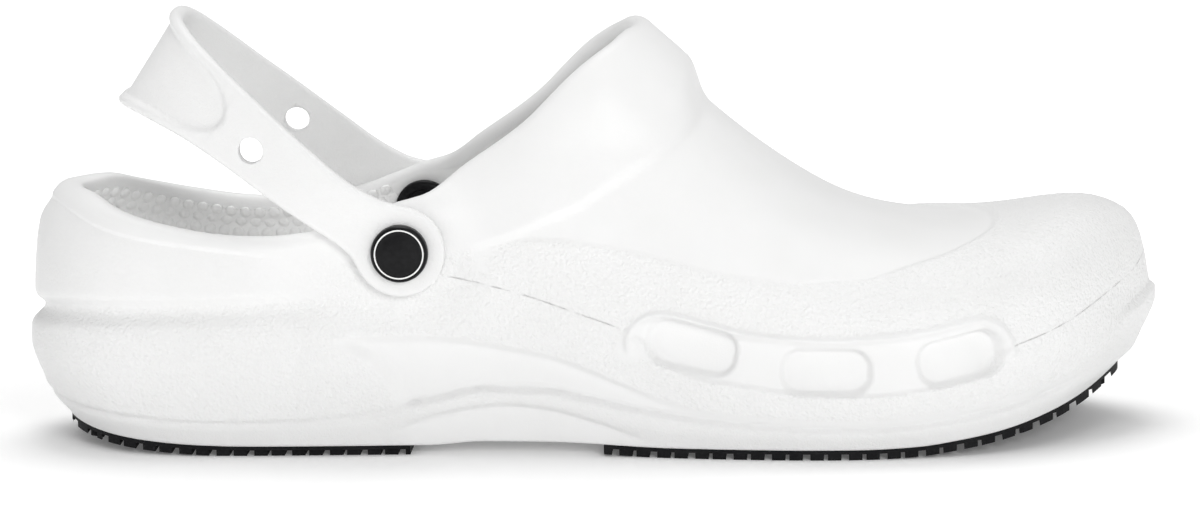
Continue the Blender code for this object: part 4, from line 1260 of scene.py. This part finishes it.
def build_nubs(phi, inner, rim, material):
    """Rows of small domes on the wall of the heel cup and on the footbed."""
    points = []
    faces = []
    wall = np.concatenate([rim[-4:], inner[:LINING_STEPS]])
    reach = path_lengths(wall) * 1000
    count = len(phi)
    for line in range(NUB_LINES):
        deep = NUB_FIRST + line * NUB_ROW
        ring = np.full((count, 3), np.nan)
        lower = np.full((count, 3), np.nan)
        for k in range(count):
            if deep + 1.5 < reach[-1, k]:
                ring[k] = point_at(deep, reach[:, k], wall[:, k])
                lower[k] = point_at(deep + 0.5, reach[:, k], wall[:, k])
        order = range(count // 5, count - count // 5)
        path = ring[order]
        step = np.linalg.norm(np.diff(path, axis=0), axis=-1) * 1000
        total = running(np.nan_to_num(step))
        heel_end = total[len(total) // 2] + (line % 2) * NUB_PITCH / 2
        at = heel_end % NUB_PITCH
        while at < total[-1]:
            i = min(int(np.searchsorted(total, at)) - 1, len(order) - 2)
            share = (at - total[i]) / max(total[i + 1] - total[i], 1e-9)
            spot = path[i] + (path[i + 1] - path[i]) * share
            ahead = path[i + 1] - path[i]
            down = lower[order[i]] - path[i]
            at += NUB_PITCH
            if np.isnan(spot).any() or np.isnan(down).any() or np.linalg.norm(ahead) < 1e-7:
                continue
            if from_heel(spot[0]) > NUB_FRONT:
                continue
            normal = np.cross(ahead, down)
            middle = np.array([spot[0] * 0.75 - 0.02, 0.0, spot[2]])
            if normal @ (middle - spot) < 0:
                normal = -normal
            nub_faces(points, faces, spot, normal)
    # footbed
    ring = inner[-1][:, :2]
    edge = np.concatenate([ring, ring[:1]])[::4] * 1000
    row = 0
    x = ring[:, 0].min()
    while x < ring[:, 0].max():
        x += NUB_ROW * NUB_SPREAD / 1000
        row += 1
        y = -HALF_WIDTH + (row % 2) * NUB_PITCH * NUB_SPREAD / 2000
        while y < HALF_WIDTH:
            y += NUB_PITCH * NUB_SPREAD / 1000
            spot = np.array([[x, y]])
            if not inside_of(spot, ring)[0]:
                continue
            if to_line(spot * 1000, edge)[0] < 2.0:
                continue
            place = np.array([x, y, height_at(footbed, x)])
            nub_faces(points, faces, place, np.array([0.0, 0.0, 1.0]))
    return fine_object("lining_nubs", points, faces, [material])


# ---------------------------------------------------------------------------
# Materials

BLACK_SPECULAR = 0.15
GRAIN_SCALE = 1120.0
GRAIN_WARP = 0.0006
GRAIN_HEIGHT = 0.62
FINE_HEIGHT = 0.45
BARE_HEIGHT = 0.12
SEAM_WIDTH = 0.20
SEAM_DEPTH = 0.6
# painted light: a brighter white for the lining, so that the shaded inside of the cup looks lit
LINING_PAINTED_LIGHT = (0.93, 0.93, 0.925, 1)


def new_material(name, colour, roughness, specular):
    """Node material and its shader."""
    material = bpy.data.materials.new(name)
    material.use_nodes = True
    shader = material.node_tree.nodes["Principled BSDF"]
    shader.inputs["Base Color"].default_value = (*colour, 1)
    shader.inputs["Roughness"].default_value = roughness
    shader.inputs["Specular IOR Level"].default_value = specular
    return material, shader


def node(material, kind, values=(), links=(), **settings):
    """Add a node, set its sockets and join its inputs."""
    made = material.node_tree.nodes.new(kind)
    for key, value in settings.items():
        setattr(made, key, value)
    for key, value in values:
        made.inputs[key].default_value = value
    for key, source in links:
        material.node_tree.links.new(source, made.inputs[key])
    return made


def object_place(material):
    return node(material, "ShaderNodeTexCoord").outputs["Object"]


def noise(material, place, scale, detail, roughness=0.5):
    """Outputs of a noise texture: its value first, then its colour."""
    return node(
        material, "ShaderNodeTexNoise", links=(("Vector", place),),
        values=(("Scale", scale), ("Detail", detail), ("Roughness", roughness)),
    ).outputs


def mask(material, name):
    """A number kept on the vertices."""
    return node(material, "ShaderNodeAttribute", attribute_name=name).outputs["Fac"]


def add_bump(material, shader, height, strength, distance):
    bump = node(
        material, "ShaderNodeBump", links=(("Height", height),),
        values=(("Strength", strength), ("Distance", distance)),
    )
    material.node_tree.links.new(bump.outputs[0], shader.inputs["Normal"])


def two_tones(material, value, low, dark, high, bright):
    """Colour between two tones, reached at two values."""
    ramp = node(material, "ShaderNodeValToRGB", links=(("Fac", value),))
    for index, (place, colour) in enumerate(((low, dark), (high, bright))):
        ramp.color_ramp.elements[index].position = place
        ramp.color_ramp.elements[index].color = (*colour, 1)
    return ramp.outputs[0]


def mixed(material, share, first, second):
    """First colour, turned into a fixed second one by a share."""
    mix = node(material, "ShaderNodeMix", data_type="RGBA", links=((6, first), (0, share)))
    mix.inputs[7].default_value = second
    return mix.outputs[2]


def math_node(material, operation, first, second=None, clamp=False):
    """Result of one sum; each side is a number or a socket."""
    made = node(material, "ShaderNodeMath", operation=operation, use_clamp=clamp)
    for index, value in enumerate((first, second)):
        if value is None:
            continue
        if isinstance(value, (int, float)):
            made.inputs[index].default_value = value
        else:
            material.node_tree.links.new(value, made.inputs[index])
    return made.outputs[0]


def pebble(material, place, scale, warp):
    """Height of a leather-like grain: warped cells with soft valleys."""
    bend = noise(material, place, scale * 0.55, 1.0)
    shift = node(
        material, "ShaderNodeVectorMath", operation="MULTIPLY_ADD",
        values=((1, (warp, warp, warp)),), links=((0, bend["Color"]), (2, place)),
    ).outputs[0]
    cells = node(
        material, "ShaderNodeTexVoronoi", feature="F1",
        values=(("Scale", scale), ("Randomness", 1.0)), links=(("Vector", shift),),
    )
    wrinkle = noise(material, shift, scale * 1.1, 2.0, 0.6)[0]
    valley = math_node(material, "MULTIPLY", cells.outputs["Distance"], 0.8)
    return math_node(material, "SUBTRACT", wrinkle, valley)


def parting_line(material, place):
    """Share of the parting line, broken here and there."""
    away = math_node(material, "ABSOLUTE", mask(material, "seam"))
    away = math_node(material, "DIVIDE", away, SEAM_WIDTH)
    line = math_node(material, "SUBTRACT", 1.0, away, True)
    line = math_node(material, "MULTIPLY", line, mask(material, "seam_on"))
    gaps = math_node(material, "SUBTRACT", noise(material, place, 260.0, 2.0)[0], 0.36)
    gaps = math_node(material, "MULTIPLY", gaps, 4.0, True)
    return math_node(material, "MULTIPLY", line, gaps)


def foam_material(name, masked, dim=(0.828, 0.828, 0.824), white=(0.848, 0.848, 0.846)):
    """White closed-cell foam with moulded grain where the masks say, painted shade in the
    parting line and painted light on the lining.
    """
    material, shader = new_material(name, dim, 0.46, 0.35)
    wires = material.node_tree.links
    place = object_place(material)
    small = noise(material, place, 2100.0, 2.0, 0.6)[0]
    if masked:
        coarse = pebble(material, place, GRAIN_SCALE, GRAIN_WARP)
        height = math_node(material, "MULTIPLY", coarse, mask(material, "grain"))
        height = math_node(material, "MULTIPLY", height, GRAIN_HEIGHT)
        tooth = math_node(material, "MULTIPLY", mask(material, "fine"), FINE_HEIGHT)
        tooth = math_node(material, "ADD", tooth, BARE_HEIGHT)
        tooth = math_node(material, "MULTIPLY", tooth, small)
        height = math_node(material, "ADD", height, tooth)
        line = parting_line(material, place)
        groove = math_node(material, "MULTIPLY", line, SEAM_DEPTH)
        height = math_node(material, "SUBTRACT", height, groove)
    else:
        height = math_node(material, "MULTIPLY", small, 0.35)
    add_bump(material, shader, height, 0.9, 0.00045)
    # faint variation of the white, and painted shade darkening the groove of the parting line
    cloud = noise(material, place, 55.0, 2.0)[0]
    colour = two_tones(material, cloud, 0.30, dim, 0.70, white)
    if masked:
        # painted shade: the groove of the parting line is mixed towards grey
        painted_seam_shade = math_node(material, "MULTIPLY", line, 0.20)
        colour = mixed(material, painted_seam_shade, colour, (0.30, 0.30, 0.30, 1))
        # painted light: the lining is mixed to a brighter white
        colour = mixed(material, mask(material, "lining_painted_light"), colour, LINING_PAINTED_LIGHT)
    wires.new(colour, shader.inputs["Base Color"])
    sheen = node(
        material, "ShaderNodeMapRange",
        values=(("To Min", 0.44), ("To Max", 0.50)), links=(("Value", cloud),),
    )
    wires.new(sheen.outputs[0], shader.inputs["Roughness"])
    return material


def hard_material(name, roughness, skin, bump, cloud, tones):
    """Rubber or plastic with a fine skin and two close tones.

    skin and cloud are (scale, detail) of a noise, bump is (strength,
    distance), and tones are as two_tones takes them.
    """
    material, shader = new_material(name, tones[1], roughness, BLACK_SPECULAR)
    place = object_place(material)
    add_bump(material, shader, noise(material, place, *skin)[0], *bump)
    colour = two_tones(material, noise(material, place, *cloud)[0], *tones)
    material.node_tree.links.new(colour, shader.inputs["Base Color"])
    return material


def plastic_material(name, dark, bright):
    """Moulded rivet plastic with a faint orange-peel skin."""
    skin = (900.0, 2.0)
    return hard_material(name, 0.33, skin, (0.25, 0.00006), skin, (0.3, dark, 0.7, bright))


shell_skin = foam_material("shell_skin", True)
strap_skin = foam_material("strap_skin", False)
# painted light: the nubs take a brighter white than the shell, so that the inside of the heel
# cup looks lit
nub_painted_light = foam_material("nub_painted_light", False, (0.90, 0.90, 0.895), (0.93, 0.93, 0.925))
tread_skin = hard_material(
    "tread_skin", 0.62, (1400.0, 3.0), (0.5, 0.00012), (90.0, 4.0),
    (0.35, (0.005, 0.005, 0.006), 0.75, (0.011, 0.011, 0.012)),
)
black_plastic = plastic_material("rivet_black", (0.004, 0.004, 0.0045), (0.008, 0.008, 0.009))
white_plastic = plastic_material("rivet_white", (0.80, 0.80, 0.79), (0.86, 0.86, 0.85))

# ---------------------------------------------------------------------------
# Pieces

shell, shell_phi, shell_inner, shell_rim = build_fine_body([shell_skin])
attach(shell, "root")
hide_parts("clog_body")

nubs = build_nubs(shell_phi, shell_inner, shell_rim, nub_painted_light)
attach(nubs, "root")

strap_piece = build_fine_strap(strap_skin)
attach(strap_piece, "root")
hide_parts("heel_strap")

for side, side_name, seat in ((-1, "lateral", SEAT_LATERAL), (1, "medial", SEAT_MEDIAL)):
    rivet = build_rivet("rivet_head_" + side_name, side, seat, [black_plastic, white_plastic])
    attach(rivet, "root")
    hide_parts("rivet_cap_" + side_name)
    button = build_button("rivet_inside_" + side_name, side, seat, [black_plastic])
    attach(button, "root")
    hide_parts("rivet_button_" + side_name)

pads = (("outsole_heel", "heel_rubber"), ("outsole_forefoot", "forefoot_rubber"))
for name, slot_name in pads:
    tread = build_tread("tread_" + name.split("_")[1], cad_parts[name], tread_skin)
    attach(tread, "root")
    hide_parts(name)

# ---------------------------------------------------------------------------
# Floor, light and camera

FLOOR_HALF = 8.0
WORLD_STRENGTH = 0.47


def build_floor():
    """White paper with a painted glow that rises away from the shoe and leaves a painted shadow
    near it.
    """
    material, shader = new_material("floor_paper", (0.93, 0.93, 0.93), 0.9, 0.1)
    shader.inputs["Emission Color"].default_value = (1, 1, 1, 1)
    place = object_place(material)
    add_bump(material, shader, noise(material, place, 300.0, 2.0)[0], 0.05, 0.0002)
    # painted light: the paper glows more towards its far parts and less near the shoe, which
    # leaves a painted shadow round it
    oval = node(
        material, "ShaderNodeVectorMath", operation="MULTIPLY",
        values=((1, (6.0, 12.0, 1.0)),), links=((0, place),),
    )
    reach = node(
        material, "ShaderNodeVectorMath", operation="LENGTH", links=((0, oval.outputs[0]),),
    ).outputs["Value"]
    glow = node(
        material, "ShaderNodeMapRange", interpolation_type="SMOOTHSTEP",
        links=(("Value", reach),),
        values=(("From Min", 0.80), ("From Max", 3.0), ("To Min", 0.10), ("To Max", 0.62)),
    )
    material.node_tree.links.new(glow.outputs[0], shader.inputs["Emission Strength"])
    mesh = bpy.data.meshes.new("floor")
    r = FLOOR_HALF
    mesh.from_pydata([(-r, -r, 0), (r, -r, 0), (r, r, 0), (-r, r, 0)], [], [(0, 1, 2, 3)])
    mesh.materials.append(material)
    return link(bpy.data.objects.new("floor", mesh))


floor = build_floor()

world = bpy.data.worlds.new("studio")
world.use_nodes = True
world.node_tree.nodes["Background"].inputs[0].default_value = (1, 1, 1, 1)
world.node_tree.nodes["Background"].inputs[1].default_value = WORLD_STRENGTH
bpy.context.scene.world = world
bpy.context.scene.view_settings.view_transform = "Standard"


def add_light(name, place, target, size, power):
    """Round area light that looks at a target."""
    light = bpy.data.lights.new(name, "AREA")
    light.shape = "DISK"
    light.size = size
    light.energy = power
    obj = link(bpy.data.objects.new(name, light))
    obj.location = place
    away = Vector(target) - Vector(place)
    obj.rotation_euler = away.to_track_quat("-Z", "Y").to_euler()


add_light("key", (0.60, -1.6, 0.66), (0.0, 0, 0.04), 0.6, 9.8)
add_light("top", (0.0, 0.45, 1.6), (0, 0, 0.03), 1.0, 12.0)
add_light("fill", (-1.3, -0.7, 0.55), (-0.1, 0, 0.04), 0.6, 1.5)

CAMERA_TURN = math.radians(3.0)
CAMERA_RISE = math.radians(9.0)
CAMERA_ROLL = math.radians(1.1)
CAMERA_AWAY = 1.4
CAMERA_AIM = (0.0023, 0, 0.0435)
PIXELS_WIDE = 1200
PIXELS_FOCAL = 3.886 * 1400
SENSOR_WIDTH = 36


def build_camera():
    """Camera fitted to the photo's viewpoint."""
    data = bpy.data.cameras.new("camera")
    data.sensor_width = SENSOR_WIDTH
    data.lens = SENSOR_WIDTH * PIXELS_FOCAL / PIXELS_WIDE
    obj = link(bpy.data.objects.new("camera", data))
    back = Vector((
        math.sin(CAMERA_TURN) * math.cos(CAMERA_RISE),
        -math.cos(CAMERA_TURN) * math.cos(CAMERA_RISE),
        math.sin(CAMERA_RISE),
    ))
    right = Vector((math.cos(CAMERA_TURN), math.sin(CAMERA_TURN), 0))
    up = back.cross(right)
    right_rolled = right * math.cos(CAMERA_ROLL) - up * math.sin(CAMERA_ROLL)
    up_rolled = up * math.cos(CAMERA_ROLL) + right * math.sin(CAMERA_ROLL)
    turn = Matrix((right_rolled, up_rolled, back)).transposed().to_4x4()
    obj.matrix_world = Matrix.Translation(Vector(CAMERA_AIM) + back * CAMERA_AWAY) @ turn
    bpy.context.scene.camera = obj


build_camera()
